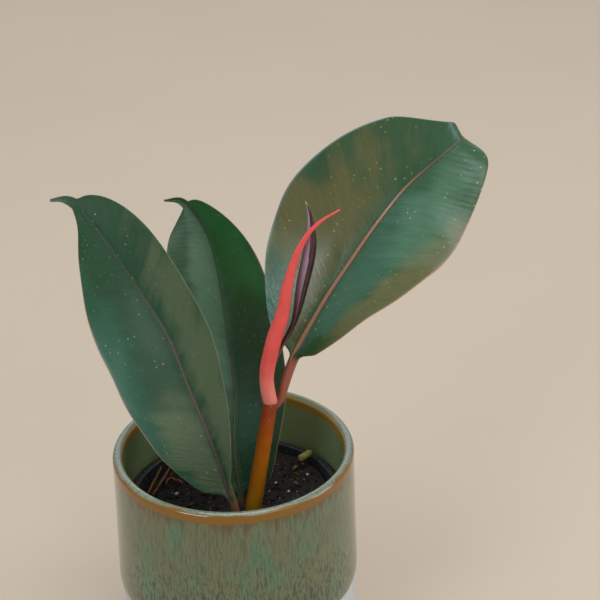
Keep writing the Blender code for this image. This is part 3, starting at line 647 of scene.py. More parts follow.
class FinishNurseryPot(bpy.types.Operator):
    """Give the plastic nursery pot its moulded black finish"""

    bl_idname = "rubber_plant.nursery_pot"
    bl_label = "Nursery Pot"

    def execute(self, context):
        """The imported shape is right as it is, so it only gets a better material."""
        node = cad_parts["nursery_pot"]
        finish = moulded_plastic(context.scene.plant_pot)
        for slot in node.material_slots:
            slot.material = finish
        return {"FINISHED"}


def granular(name, shade, deep, grain_mm, roughness, depth_mm):
    """A dull crumbly stuff: two shades mottled at its grain size, and a rough broken surface."""
    made, tree, shader = new_material(name, roughness, 1.45, {})
    place = add_node(tree, "ShaderNodeTexCoord", {}, {}).outputs["Object"]
    grain = add_node(tree, "ShaderNodeTexNoise", {},
                     {"Vector": place, "Scale": 1000.0 / grain_mm, "Detail": 5.0,
                      "Roughness": 0.65})
    ramp = add_node(tree, "ShaderNodeValToRGB", {}, {"Fac": grain.outputs["Fac"]},
                    ((0.34, deep), (0.68, shade)))
    tree.links.new(ramp.outputs[0], shader.inputs["Base Color"])
    add_bump(tree, shader, grain.outputs["Fac"], depth_mm / 1000, 0.8)
    return made


def soil_height(x, y):
    """The uneven top of the soil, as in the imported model: a gentle slope with low waves."""
    slope = SOIL_SLOPE * (0.6 * x + 0.8 * y) / NURSERY_RIM_RADIUS
    wave = SOIL_WAVE * (math.sin(210 * x + 1.0) + math.cos(260 * y - 0.5))
    return SOIL_LINE - 0.0006 + 0.5 * slope + 0.6 * max(0.0, slope) + wave


def crumbly_height(x, y):
    """Soil height with crumbs of 2 to 6 mm pushed up out of it."""
    spot = Vector((x, y, 0.0))
    lumps = noise.fractal(spot * 260, 0.9, 2.1, 4)
    pits = noise.noise(spot * 700)
    return soil_height(x, y) + 0.00055 * lumps + 0.00025 * pits - 0.0003


def crumb_shapes():
    """Points and faces of a rounded crumb of radius 1."""
    build = bmesh.new()
    bmesh.ops.create_icosphere(build, subdivisions=1, radius=1.0)
    shape = np.array([tuple(v.co) for v in build.verts])
    faces = [[v.index for v in f.verts] for f in build.faces]
    build.free()
    return shape, faces


class BuildSoil(bpy.types.Operator):
    """Build the potting mix: a rough peaty top strewn with loose crumbs, fibres and grit"""

    bl_idname = "rubber_plant.soil"
    bl_label = "Soil"

    def execute(self, context):
        """Make the block with a crumbly top, then strew crumbs on it."""
        soil = context.scene.plant_soil
        around, rows = 220, 80
        edge = SOIL_RADIUS - 0.0002
        turns = np.linspace(0, 2 * math.pi, around, endpoint=False)
        foot = edge - 0.0075
        points = [(foot * math.cos(a), foot * math.sin(a), SOIL_LOW.z) for a in turns]
        for share in np.linspace(1.0, 0.012, rows):
            for a in turns:
                x, y = edge * share * math.cos(a), edge * share * math.sin(a)
                points.append((x, y, crumbly_height(x, y)))
        faces = skin_faces(rows + 1, around)
        finish_of = [0] * len(faces)
        shape, crumb_faces = crumb_shapes()
        draw = np.random.default_rng(11)
        for _ in range(soil.crumbs):
            reach = (edge - 0.0022) * math.sqrt(draw.uniform(0.0, 1.0))
            turn = draw.uniform(0, 2 * math.pi)
            x, y = reach * math.cos(turn), reach * math.sin(turn)
            size = soil.crumb_size * draw.uniform(0.25, 1.0) ** 1.6
            # Three in four are peat; the others are fibre, grit and scraps.
            kind = int(draw.choice((0, 1, 2, 3), p=(0.76, 0.09, 0.08, 0.07)))
            stretch = draw.uniform(0.6, 1.4, 3)
            if kind == 1:
                stretch = np.array((2.2, 0.5, 0.4)) * draw.uniform(0.7, 1.3)
            if kind > 1:
                size *= 0.55
            start = len(points)
            spin = Matrix.Rotation(draw.uniform(0, 2 * math.pi), 3, "Z")
            spin = spin @ Matrix.Rotation(draw.uniform(-0.5, 0.5), 3, "X")
            rough = shape * draw.uniform(0.75, 1.1, (len(shape), 1)) * stretch * size
            rough = rough @ np.array(spin).T
            z = crumbly_height(x, y) + 0.35 * size
            points.extend(rough + (x, y, z))
            faces.extend([[start + i for i in face] for face in crumb_faces])
            finish_of.extend([kind] * len(crumb_faces))
        peat = tuple(soil.peat)
        # Damp peat: nearly black and dull, so only its crumbs catch the light.
        damp = granular("damp peat", tuple(2.6 * c for c in peat), peat, 1.6, 0.85, 0.4)
        # Bark fibre: tan and dry, split along the grain.
        fibre = granular("bark fibre", tuple(soil.bark), linear("#4A3320"), 0.8, 0.8, 0.2)
        # Grit of foamed rock: chalky and nearly white.
        grit = granular("perlite grit", tuple(soil.perlite), linear("#8F897B"), 0.7, 0.9, 0.15)
        # Moss and leaf scraps: yellow green, as small dots.
        scraps = granular("green scraps", linear("#7E8440"), linear("#3E4420"), 0.9, 0.7, 0.2)
        piece = mesh_piece("potting_mix", points, faces, [damp, fibre, grit, scraps], finish_of)
        stands_for(piece, "potting_soil", "soil")
        return {"FINISHED"}


def refined(node_name, finish, push, grain_mm, seed):
    """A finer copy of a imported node: welded, rounded off, then roughened along its normals."""
    name = "fine_" + node_name
    build = bmesh.new()
    build.from_mesh(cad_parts[node_name].data)
    bmesh.ops.remove_doubles(build, verts=build.verts, dist=0.00001)
    bmesh.ops.join_triangles(build, faces=build.faces, angle_face_threshold=3.1,
                             angle_shape_threshold=3.1)
    mesh = bpy.data.meshes.new(name)
    build.to_mesh(mesh)
    build.free()
    mesh.materials.clear()
    mesh.materials.append(finish)
    mesh.polygons.foreach_set("material_index", [0] * len(mesh.polygons))
    piece = bpy.data.objects.new(name, mesh)
    bpy.context.scene.collection.objects.link(piece)
    smooth = piece.modifiers.new("rounded", "SUBSURF")
    smooth.levels = smooth.render_levels = 2
    depsgraph = bpy.context.evaluated_depsgraph_get()
    fine = bpy.data.meshes.new_from_object(piece.evaluated_get(depsgraph))
    piece.modifiers.clear()
    piece.data = fine
    fine.name = name
    for vertex in fine.vertices:
        spot = vertex.co * (1000 / grain_mm) + Vector((seed * 7.3, 0, 0))
        vertex.co += vertex.normal * (push * noise.fractal(spot, 0.8, 2.0, 3))
    fine.shade_smooth()
    return piece


class BuildLooseBits(bpy.types.Operator):
    """Build the perlite grains, bark chips, dried strips, bare root and shed bud on the soil"""

    bl_idname = "rubber_plant.loose_bits"
    bl_label = "Loose Bits"

    def execute(self, context):
        """Refine each packed bit and give it the finish of its own stuff."""
        soil = context.scene.plant_soil
        # Perlite: foamed volcanic glass, chalk white with pits.
        perlite = granular("foamed perlite", tuple(soil.perlite), linear("#A59F90"), 0.9, 0.9, 0.2)
        # Pine bark: layered, tan to brown.
        bark = granular("pine bark", tuple(soil.bark), linear("#4E3520"), 1.0, 0.85, 0.25)
        # Dried sheath and root: papery, orange brown, ribbed lengthwise.
        dried = granular("dried plant fibre", tuple(soil.dried), linear("#5C3418"), 0.9, 0.7, 0.2)
        # Shed bud scale: satin, yellow green and mottled with tan where it dries.
        bud = granular("shed bud scale", linear("#B5A850"), linear("#7C6A3E"), 2.2, 0.45, 0.1)
        kinds = (("perlite_", perlite, "perlite", 0.00025), ("bark_chip_", bark, "bark", 0.00015))
        for start, finish, slot, push in kinds:
            for node_name in sorted(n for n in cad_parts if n.startswith(start)):
                seed = int(node_name.rsplit("_", 1)[1])
                piece = refined(node_name, finish, push, 0.9, seed)
                stands_for(piece, slot, node_name)
        for node_name in ("dried_strand_1", "dried_strand_2", "root_curl"):
            piece = refined(node_name, dried, 0.0002, 1.2, 3)
            stands_for(piece, "dried_fibre", node_name)
        piece = refined("fallen_bud", bud, 0.00012, 2.0, 5)
        stands_for(piece, "fallen_bud_skin", "fallen_bud")
        return {"FINISHED"}


def young_bark(shoot):
    """Young stem bark: waxy and smooth, ochre at the soil and rust at the tip, with pale pores."""
    made, tree, shader = new_material("young waxy bark", 0.34, 1.45,
                                      {"Subsurface Weight": 0.08, "Subsurface Scale": 0.002,
                                       "Subsurface Radius": (1.0, 0.4, 0.15)})
    place = add_node(tree, "ShaderNodeTexCoord", {}, {}).outputs["Object"]
    split = add_node(tree, "ShaderNodeSeparateXYZ", {}, {"Vector": place})
    blotch = add_node(tree, "ShaderNodeTexNoise", {},
                      {"Vector": place, "Scale": 160.0, "Detail": 4.0})
    rise = add_node(tree, "ShaderNodeMapRange", {},
                    {"Value": split.outputs["Z"], "From Min": SOIL_LINE + 0.004,
                     "From Max": STEM_TIP[2]})
    shaken = add_node(tree, "ShaderNodeMath", {"operation": "MULTIPLY_ADD"},
                      {0: blotch.outputs["Fac"], 1: 0.22, 2: rise.outputs[0]})
    ramp = add_node(tree, "ShaderNodeValToRGB", {}, {"Fac": shaken.outputs[0]},
                    ((0.12, tuple(shoot.stem_low)), (0.60, tuple(shoot.stem_mid)),
                     (1.0, tuple(shoot.stem_high))))
    # Pores 0.6 mm across, about 3 mm apart.
    pores = add_node(tree, "ShaderNodeTexVoronoi", {}, {"Vector": place, "Scale": 330.0})
    pore = add_node(tree, "ShaderNodeMapRange", {"interpolation_type": "SMOOTHSTEP"},
                    {"Value": pores.outputs["Distance"], "From Min": 0.06, "From Max": 0.13,
                     "To Min": 0.8, "To Max": 0.0})
    dotted = add_node(tree, "ShaderNodeMix", {"data_type": "RGBA"},
                      {0: pore.outputs[0], 6: ramp.outputs[0], 7: linear("#D9A26A")})
    tree.links.new(dotted.outputs[2], shader.inputs["Base Color"])
    # Fine fibres along the stem, 0.45 mm apart.
    tall = add_node(tree, "ShaderNodeMapping", {}, {"Vector": place, "Scale": (1.0, 1.0, 0.08)})
    fibres = add_node(tree, "ShaderNodeTexNoise", {}, {"Vector": tall.outputs[0], "Scale": 2200.0})
    add_bump(tree, shader, fibres.outputs["Fac"], 0.00008, 0.4)
    return made


class BuildStem(bpy.types.Operator):
    """Build the stem with its slightly swollen nodes"""

    bl_idname = "rubber_plant.stem"
    bl_label = "Stem"

    def execute(self, context):
        """Loft round rings along the leaning stem."""
        shoot = context.scene.plant_shoot
        around = 48
        foot, tip = np.array(STEM_FOOT), np.array(STEM_TIP)
        rise = tip - foot
        shares = np.concatenate((np.linspace(-0.36, 0.985, 150), (0.992, 0.997, 1.0)))
        line = foot + shares[:, None] * rise
        normals, across = rail_frames(line, (0, -1, 0.2))
        points = []
        for centre, normal, side, share in zip(line, normals, across, shares):
            radius = shoot.foot_radius + (shoot.top_radius - shoot.foot_radius) * share
            for node_share in (0.18, 0.64):
                radius += 0.0001 * math.exp(-((share - node_share) / 0.02) ** 2)
            if share >= 0.985:
                radius *= math.sqrt(max(0.1, 1 - ((share - 0.985) / 0.017) ** 2))
            for k in range(around):
                turn = 2 * math.pi * k / around
                spot = centre + radius * (math.cos(turn) * side + math.sin(turn) * normal)
                grow = 0.00008 * noise.noise(Vector(spot) * 300)
                points.append(spot + grow * (spot - centre) / radius)
        piece = mesh_piece("waxy_stem", points, skin_faces(len(shares), around),
                           [young_bark(shoot)])
        stands_for(piece, "stem_bark", "stem")
        return {"FINISHED"}


# The margin of a blade rises and falls a little along the leaf.
EDGE_WAVE = 0.0004
EDGE_WAVE_LENGTH = 0.031
# How far a side vein runs towards the tip for each metre that it runs outwards.
VEIN_SLANT = 0.62


def half_width(leaf, t):
    """Half the blade's width at a share t of its length, running into a narrow drip tip."""
    along = min(1.0, t / (1.0 - leaf["tip_share"])) ** leaf["widest"]
    body = max(0.0, math.sin(math.pi * along)) ** leaf["fullness"]
    tail = 0.0016 * math.sqrt(min(1.0, (1.0 - t) / 0.12))
    beak = leaf["beak"] * math.exp(-((t - 1.0 + leaf["tip_share"]) / 0.045) ** 2)
    return math.hypot(leaf["half_width"] * body, tail + beak) + 0.0002


def blade_columns(width, rib):
    """Distances from the midrib at which a blade has points, out to its margin."""
    inner = rib * np.array((0.0, 0.3, 0.6, 0.85, 1.0, 1.2, 1.5, 2.0))
    shares = np.linspace(0, 1, 19)[1:] ** 0.9
    outer = inner[-1] + (0.985 * width - inner[-1]) * shares
    edge = width * np.array((0.992, 0.997, 1.0))
    return np.concatenate((inner, outer, edge))


def blade_row(leaf, settings, width, rib, along, t):
    """One row across a blade: (across, upper lift, lower lift, distance, share) per point."""
    curl = math.radians(leaf["curl"])
    drop = leaf["left_drop"] * min(1.0, max(0.0, (t - 0.55) / 0.35)) ** 2
    late = min(1.0, max(0.0, (t - 0.74) / 0.14))
    left_width = max(1.3 * rib, width * (1 - leaf["left_trim"] * late * late * (3 - 2 * late)))
    halves = []
    for hand, degrees, width in ((-1, leaf["fold"] - drop, left_width), (1, leaf["fold"], width)):
        fold = math.radians(degrees)
        half = []
        for distance in blade_columns(width, rib):
            reach = distance / width
            across = width * (math.sin(fold + curl * reach) - math.sin(fold)) / curl
            lift = width * (math.cos(fold) - math.cos(fold + curl * reach)) / curl
            round_rib = math.sqrt(max(0.0, 1 - (distance / rib) ** 2))
            thin = max(0.0, reach - 0.95) / 0.05
            sheet = settings.thickness / 2 * math.sqrt(max(0.0, 1 - thin ** 2))
            groove = math.exp(-((distance / rib - 1.35) / 0.35) ** 2)
            crown = rib * (0.45 * round_rib - 0.10 * groove)
            phase = (along - VEIN_SLANT * distance) / settings.vein_spacing
            body = min(1.0, distance / (3 * rib)) * min(1.0, (1 - reach) / 0.12)
            ripple = settings.vein_relief * math.sin(2 * math.pi * phase) * body
            wave = EDGE_WAVE * math.sin(2 * math.pi * along / EDGE_WAVE_LENGTH) * reach ** 3
            middle = lift + ripple + wave * min(1.0, 8 * (1 - t))
            half.append((hand * across, middle + sheet + crown,
                         middle - sheet - 1.1 * rib * round_rib, hand * distance, hand * reach))
        halves.append(half)
    return halves[0][:0:-1] + halves[1]


def blade_mesh(leaf, settings):
    """Points, faces, face kinds and UV layers of one leaf from petiole to drip tip."""
    whole = [tuple(np.add(p, leaf["from"])) for p in leaf["petiole"] + leaf["midrib"]]
    _, petiole_length = spline(whole[:len(leaf["petiole"]) + 1], (0, 1))
    _, length = spline(whole, (0, 1))
    start = petiole_length / length
    stalk_rows = 18
    samples = np.concatenate((np.linspace(0, start, stalk_rows)[:-1],
                              start + (1 - start) * np.linspace(0, 1, 210)))
    line, _ = spline(whole, samples)
    normals, across = rail_frames(line, leaf["faces"], 45)
    twist = np.polyfit(np.linspace(0, 1, 4), leaf["twist"], 3)
    points, metric, share = [], [], []
    for centre, normal, side, sample in zip(line, normals, across, samples):
        t = max(0.0, (sample - start) / (1 - start))
        turn = math.radians(np.polyval(twist, t))
        lifted = normal * math.cos(turn) + side * math.sin(turn)
        sideways = side * math.cos(turn) - normal * math.sin(turn)
        thin = settings.rib_radius - leaf["petiole_radius"]
        rib = (leaf["petiole_radius"] + thin * min(1, t / 0.15)) * (1 - 0.75 * max(0.0, t - 0.15))
        width = max(half_width(leaf, t), rib * 1.3)
        rib = min(rib, width * 0.35)
        along = (sample - start) * length
        row = blade_row(leaf, settings, width, rib, along, t)
        blend = min(1.0, t / 0.06) if sample > start else 0.0
        blend = blend * blend * (3 - 2 * blend)
        count = len(row) - 1
        upper, lower = [], []
        for i, (a, up, down, distance, reach) in enumerate(row):
            round_turn = math.pi * (1 - i / count)
            radius = leaf["petiole_radius"]
            round_a = radius * math.cos(round_turn)
            round_lift = radius * math.sin(round_turn)
            flat_a = blend * a + (1 - blend) * round_a
            high = blend * up + (1 - blend) * round_lift
            low = blend * down - (1 - blend) * round_lift
            upper.append((flat_a, high, distance, reach))
            lower.append((flat_a, low, distance, reach))
        ring = upper + lower[-2:0:-1]
        for a, lift, distance, reach in ring:
            points.append(centre + a * sideways + lift * lifted)
            metric.append((distance, along))
            share.append((reach, sample))
    around = 2 * count
    faces = skin_faces(len(samples), around)
    kinds = []
    for row in range(len(samples) - 1):
        kinds += [0] * count + [1] * (around - count)
    kinds += [1, 1]
    return points, faces, kinds, {"blade": metric, "share": share}, start


def leaf_places(tree):
    """Nodes that say where a spot lies on its leaf.

    span and side are in metres from the midrib and along the blade, parts and reach in shares of
    its half width and of the whole leaf, and lean stays the same along a side vein.
    """
    blade = add_node(tree, "ShaderNodeUVMap", {"uv_map": "blade"}, {})
    span = add_node(tree, "ShaderNodeSeparateXYZ", {}, {"Vector": blade.outputs[0]})
    share = add_node(tree, "ShaderNodeUVMap", {"uv_map": "share"}, {})
    parts = add_node(tree, "ShaderNodeSeparateXYZ", {}, {"Vector": share.outputs[0]})
    side = add_node(tree, "ShaderNodeMath", {"operation": "ABSOLUTE"}, {0: span.outputs["X"]})
    reach = add_node(tree, "ShaderNodeMath", {"operation": "ABSOLUTE"}, {0: parts.outputs["X"]})
    lean = add_node(tree, "ShaderNodeMath", {"operation": "MULTIPLY_ADD"},
                    {0: side.outputs[0], 1: -VEIN_SLANT, 2: span.outputs["Y"]})
    return blade, span, share, parts, side, reach, lean


def onto_petiole(tree, shader, blade_colour, parts, start, petiole):
    """Carry a blade's colour over into its petiole's, and give the result to the shader."""
    stalk = add_node(tree, "ShaderNodeMapRange", {"interpolation_type": "SMOOTHSTEP"},
                     {"Value": parts.outputs["Y"], "From Min": start * 0.92,
                      "From Max": start + 0.02, "To Min": 1.0, "To Max": 0.0})
    whole = add_node(tree, "ShaderNodeMix", {"data_type": "RGBA"},
                     {0: stalk.outputs[0], 6: blade_colour, 7: linear(petiole)})
    tree.links.new(whole.outputs[2], shader.inputs["Base Color"])


def colour_zones(tree, settings, zones, place, share, vein_place):
    """Lay a blade's colour zones over its main green."""
    # Broad stripes 9 mm apart along the veins and clouds of 25 mm fray their edges.
    stripes = add_node(tree, "ShaderNodeTexNoise", {},
                       {"Vector": vein_place.outputs[0], "Scale": 1000.0 / 9.0, "Detail": 3.0})
    clouds = add_node(tree, "ShaderNodeTexNoise", {},
                      {"Vector": place, "Scale": 40.0, "Detail": 2.0})
    frayed = add_node(tree, "ShaderNodeMath", {"operation": "ADD"},
                      {0: stripes.outputs["Fac"], 1: clouds.outputs["Fac"]})
    shade = tuple(settings.green)
    for zone, across, along, breadth, length, strength in zones:
        local = add_node(tree, "ShaderNodeMapping", {},
                         {"Vector": share.outputs[0],
                          "Location": (-across / breadth, -along / length, 0.0),
                          "Scale": (1 / breadth, 1 / length, 1.0)})
        away = add_node(tree, "ShaderNodeVectorMath", {"operation": "LENGTH"},
                        {0: local.outputs[0]})
        edge = add_node(tree, "ShaderNodeMath", {"operation": "MULTIPLY_ADD"},
                        {0: frayed.outputs[0], 1: 1.1, 2: away.outputs["Value"]})
        mask = add_node(tree, "ShaderNodeMapRange", {"interpolation_type": "SMOOTHSTEP"},
                        {"Value": edge.outputs[0], "From Min": 1.55, "From Max": 2.20,
                         "To Min": strength, "To Max": 0.0})
        shade = add_node(tree, "ShaderNodeMix", {"data_type": "RGBA"},
                         {0: mask.outputs[0], 6: shade,
                          7: tuple(getattr(settings, zone))}).outputs[2]
    return shade


def pale_spots(tree, settings, spots, place, blade, colour):
    """Dot a blade with pale spots up to 1 mm across, of every strength, in loose groups."""
    dots = add_node(tree, "ShaderNodeTexVoronoi", {"voronoi_dimensions": "2D"},
                    {"Vector": blade.outputs[0], "Scale": 1000.0 / 4.0})
    some = add_node(tree, "ShaderNodeSeparateColor", {}, {"Color": dots.outputs["Color"]})
    size = add_node(tree, "ShaderNodeMath", {"operation": "MULTIPLY_ADD"},
                    {0: some.outputs["Green"], 1: -0.06, 2: dots.outputs["Distance"]})
    dot = add_node(tree, "ShaderNodeMapRange", {"interpolation_type": "SMOOTHSTEP"},
                   {"Value": size.outputs[0], "From Min": 0.01, "From Max": 0.07,
                    "To Min": 0.85, "To Max": 0.0})
    groups = add_node(tree, "ShaderNodeTexNoise", {}, {"Vector": place, "Scale": 60.0})
    group = add_node(tree, "ShaderNodeMapRange", {},
                     {"Value": groups.outputs["Fac"], "From Min": 0.46, "From Max": 0.60})
    few = add_node(tree, "ShaderNodeMapRange", {},
                   {"Value": some.outputs["Red"], "From Min": spots - 0.2,
                    "From Max": spots, "To Min": 1.0, "To Max": 0.0})
    mask = add_node(tree, "ShaderNodeMath", {"operation": "MULTIPLY"},
                    {0: dot.outputs[0], 1: group.outputs[0]})
    mask = add_node(tree, "ShaderNodeMath", {"operation": "MULTIPLY"},
                    {0: mask.outputs[0], 1: few.outputs[0]})
    spotted = add_node(tree, "ShaderNodeMix", {"data_type": "RGBA"},
                       {0: mask.outputs[0], 6: colour, 7: tuple(settings.speckle)})
    return spotted.outputs[2]


def midrib_line(tree, settings, look, start, side, parts, colour):
    """Give the midrib its own colour, with painted shade in the groove along each side."""
    rib_end = add_node(tree, "ShaderNodeMapRange", {},
                       {"Value": parts.outputs["Y"], "From Min": start, "From Max": 1.0,
                        "To Min": settings.rib_radius * look["rib_width"],
                        "To Max": settings.rib_radius * 0.2})
    off_rib = add_node(tree, "ShaderNodeMath", {"operation": "DIVIDE"},
                       {0: side.outputs[0], 1: rib_end.outputs[0]})
    # Painted shade: a dark green band along each side of the midrib, where the groove lies in shade.
    groove = add_node(tree, "ShaderNodeMapRange", {"interpolation_type": "SMOOTHSTEP"},
                      {"Value": off_rib.outputs[0], "From Min": 1.0, "From Max": 2.4,
                       "To Min": 0.5, "To Max": 0.0})
    groove_shaded = add_node(tree, "ShaderNodeMix", {"data_type": "RGBA"},
                       {0: groove.outputs[0], 6: colour, 7: linear("#2A3422")})
    rib = add_node(tree, "ShaderNodeMapRange", {"interpolation_type": "SMOOTHSTEP"},
                   {"Value": off_rib.outputs[0], "From Min": 0.6, "From Max": 1.15,
                    "To Min": 1.0, "To Max": 0.0})
    fade = add_node(tree, "ShaderNodeMapRange", {"interpolation_type": "SMOOTHSTEP"},
                    {"Value": parts.outputs["Y"], "From Min": look["rib_fade"][0],
                     "From Max": look["rib_fade"][1], "To Min": 1.0, "To Max": 0.15})
    rib_share = add_node(tree, "ShaderNodeMath", {"operation": "MULTIPLY"},
                         {0: rib.outputs[0], 1: fade.outputs[0]})
    ribbed = add_node(tree, "ShaderNodeMix", {"data_type": "RGBA"},
                      {0: rib_share.outputs[0], 6: groove_shaded.outputs[2],
                       7: linear(look["rib"])})
    return ribbed.outputs[2]


def margin_line(tree, margins, parts, reach, colour):
    """Draw the thin translucent margin, under 1 mm wide, each half with its own tint; leaf_right's
    bluish grey left tint is a painted highlight.
    """
    right = add_node(tree, "ShaderNodeMath", {"operation": "GREATER_THAN"},
                     {0: parts.outputs["X"], 1: 0.0})
    tint = add_node(tree, "ShaderNodeMix", {"data_type": "RGBA"},
                    {0: right.outputs[0], 6: linear(margins[0]),
                     7: linear(margins[1])})
    edge = add_node(tree, "ShaderNodeMapRange", {"interpolation_type": "SMOOTHSTEP"},
                    {"Value": reach.outputs[0], "From Min": 0.972, "From Max": 0.990,
                     "To Max": 0.75})
    edged = add_node(tree, "ShaderNodeMix", {"data_type": "RGBA"},
                     {0: edge.outputs[0], 6: colour, 7: tint.outputs[2]})
    return edged.outputs[2]


def leaf_cuticle(name, settings, look, start):
    """Upper face of a rubber leaf: thick waxy cuticle, dark green, with a soft broad gloss."""
    made, tree, shader = new_material(name, 0.30, 1.46, {})
    place = add_node(tree, "ShaderNodeTexCoord", {}, {}).outputs["Object"]
    blade, span, share, parts, side, reach, lean = leaf_places(tree)
    # Side veins run out towards the tip: streaks 1.3 mm wide and 8 mm long.
    out = add_node(tree, "ShaderNodeMath", {"operation": "MULTIPLY"},
                   {0: span.outputs["X"], 1: 0.16})
    vein_place = add_node(tree, "ShaderNodeCombineXYZ", {},
                          {"X": lean.outputs[0], "Y": out.outputs[0]})
    veins = add_node(tree, "ShaderNodeTexNoise", {},
                     {"Vector": vein_place.outputs[0], "Scale": 1000.0 / 1.3, "Detail": 3.0,
                      "Roughness": 0.65})
    shade = colour_zones(tree, settings, look["zones"], place, share, vein_place)
    vein_light = add_node(tree, "ShaderNodeMapRange", {},
                          {"Value": veins.outputs["Fac"], "From Min": 0.3, "From Max": 0.7,
                           "To Min": 1.0 - look["veins"], "To Max": 1.0 + look["veins"]})
    veined = add_node(tree, "ShaderNodeVectorMath", {"operation": "SCALE"},
                      {0: shade, "Scale": vein_light.outputs[0]})
    spotted = pale_spots(tree, settings, look["spots"], place, blade, veined.outputs[0])
    ribbed = midrib_line(tree, settings, look, start, side, parts, spotted)
    edged = margin_line(tree, look["margins"], parts, reach, ribbed)
    onto_petiole(tree, shader, edged, parts, start, look["petiole"])
    # Wax of uneven thickness: the gloss is softer in patches of 12 mm.
    wax = add_node(tree, "ShaderNodeTexNoise", {}, {"Vector": place, "Scale": 85.0, "Detail": 3.0})
    rough = add_node(tree, "ShaderNodeMapRange", {},
                     {"Value": wax.outputs["Fac"], "From Min": 0.3, "From Max": 0.7,
                      "To Min": 0.20, "To Max": 0.34})
    tree.links.new(rough.outputs[0], shader.inputs["Roughness"])
    # The blade puckers between its veins, most of all near its base.
    base = add_node(tree, "ShaderNodeMapRange", {},
                    {"Value": parts.outputs["Y"], "From Min": 0.15, "From Max": 0.42,
                     "To Min": 1.0, "To Max": 0.15})
    pucker = add_node(tree, "ShaderNodeMath", {"operation": "MULTIPLY"},
                      {0: veins.outputs["Fac"], 1: base.outputs[0]})
    add_bump(tree, shader, pucker.outputs[0], 0.0009, 0.5)
    return made


def leaf_underside(name, settings, look, start):
    """Lower face of a rubber leaf: paler and duller, with a proud midrib in reddish green."""
    made, tree, shader = new_material(name, 0.42, 1.45, {})
    _, _, _, parts, side, reach, lean = leaf_places(tree)
    vein_place = add_node(tree, "ShaderNodeCombineXYZ", {}, {"X": lean.outputs[0]})
    veins = add_node(tree, "ShaderNodeTexNoise", {},
                     {"Vector": vein_place.outputs[0], "Scale": 1000.0 / 1.3, "Detail": 3.0})
    # Between the veins it is darker.
    dark = tuple(0.62 * c for c in settings.under)
    ramp = add_node(tree, "ShaderNodeValToRGB", {}, {"Fac": veins.outputs["Fac"]},
                    ((0.30, dark), (0.70, tuple(settings.under))))
    rib_end = add_node(tree, "ShaderNodeMapRange", {},
                       {"Value": parts.outputs["Y"], "From Min": start, "From Max": 1.0,
                        "To Min": settings.rib_radius * 1.6, "To Max": settings.rib_radius * 0.4})
    off_rib = add_node(tree, "ShaderNodeMath", {"operation": "DIVIDE"},
                       {0: side.outputs[0], 1: rib_end.outputs[0]})
    rib = add_node(tree, "ShaderNodeMapRange", {"interpolation_type": "SMOOTHSTEP"},
                   {"Value": off_rib.outputs[0], "From Min": 0.8, "From Max": 1.3,
                    "To Min": 0.8, "To Max": 0.0})
    ribbed = add_node(tree, "ShaderNodeMix", {"data_type": "RGBA"},
                      {0: rib.outputs[0], 6: ramp.outputs[0], 7: linear("#8A5F48")})
    edge = add_node(tree, "ShaderNodeMapRange", {"interpolation_type": "SMOOTHSTEP"},
                    {"Value": reach.outputs[0], "From Min": 0.975, "From Max": 0.992,
                     "To Max": 0.75})
    edged = add_node(tree, "ShaderNodeMix", {"data_type": "RGBA"},
                     {0: edge.outputs[0], 6: ribbed.outputs[2], 7: tuple(settings.margin)})
    onto_petiole(tree, shader, edged.outputs[2], parts, start, look["petiole"])
    add_bump(tree, shader, veins.outputs["Fac"], 0.0002, 0.3)
    return made


# Colour zones as ellipses on the blade: colour, centre across (-1 to 1) and along (0 to 1), half
# breadth and half length in the same shares, and strength. The teal zones and leaf_back's pale strip
# left of its midrib are partly painted reflection: the window's bluish sheen on the wax, laid into
# the colour over the leaf's own tone.
LEAF_LOOKS = {
    "leaf_front": {
        "zones": [("grey", 0.0, 0.50, 1.6, 0.9, 0.55), ("teal", -0.90, 0.50, 0.44, 0.50, 0.95),
                  ("sage", 0.60, 0.42, 0.62, 0.42, 0.85), ("sage", -0.40, 0.24, 0.55, 0.24, 0.8)],
        "veins": 0.08, "spots": 0.50, "rib": "#6E5850", "rib_width": 0.85, "petiole": "#8A5640",
        "margins": ("#B08474", "#8F8A76"), "rib_fade": (0.45, 0.75),
    },
    "leaf_back": {
        "zones": [("pale", -0.22, 0.66, 0.34, 0.36, 0.95), ("vivid", 0.50, 0.78, 0.60, 0.24, 0.9),
                  ("deep", 0.50, 0.48, 0.60, 0.20, 0.7), ("teal", 0.30, 0.22, 0.6, 0.2, 0.5)],
        "veins": 0.08, "spots": 0.36, "rib": "#565840", "rib_width": 0.8, "petiole": "#6A5034",
        "margins": ("#6E7E66", "#A08868"), "rib_fade": (0.25, 0.50),
    },
    "leaf_right": {
        "zones": [("olive", -0.50, 0.42, 0.85, 0.34, 1.0), ("teal", 0.25, 0.42, 0.45, 0.45, 0.8),
                  ("olive", 0.85, 0.44, 0.36, 0.34, 0.9), ("deep", 0.62, 0.12, 0.65, 0.15, 0.95),
                  ("teal", -0.80, 0.20, 0.45, 0.20, 0.95), ("pale", 0.45, 0.68, 0.40, 0.26, 0.45)],
        "veins": 0.12, "spots": 0.55, "rib": "#A8765A", "rib_width": 1.15, "petiole": "#95503A",
        # Painted highlight: leaf_right's bluish grey left margin stands in for the sky's reflection
        # along its rounded upper edge.
        "margins": ("#7C9090", "#A77A62"), "rib_fade": (0.62, 0.86),
    },
}


class BuildLeaves(bpy.types.Operator):
    """Build the three open leaves with midrib, side veins, thin margin and drip tip"""

    bl_idname = "rubber_plant.leaves"
    bl_label = "Leaves"

    def execute(self, context):
        """Build each leaf as one skin from its petiole to its drip tip."""
        settings = context.scene.plant_leaf
        for node_name, leaf in LEAVES.items():
            look = LEAF_LOOKS[node_name]
            points, faces, kinds, layers, start = blade_mesh(leaf, settings)
            upper = leaf_cuticle("waxy cuticle of " + node_name, settings, look, start)
            lower = leaf_underside("underside of " + node_name, settings, look, start)
            piece = mesh_piece("waxy_" + node_name, points, faces, [upper, lower], kinds, layers)
            stands_for(piece, "rubber_leaf", node_name)
        return {"FINISHED"}


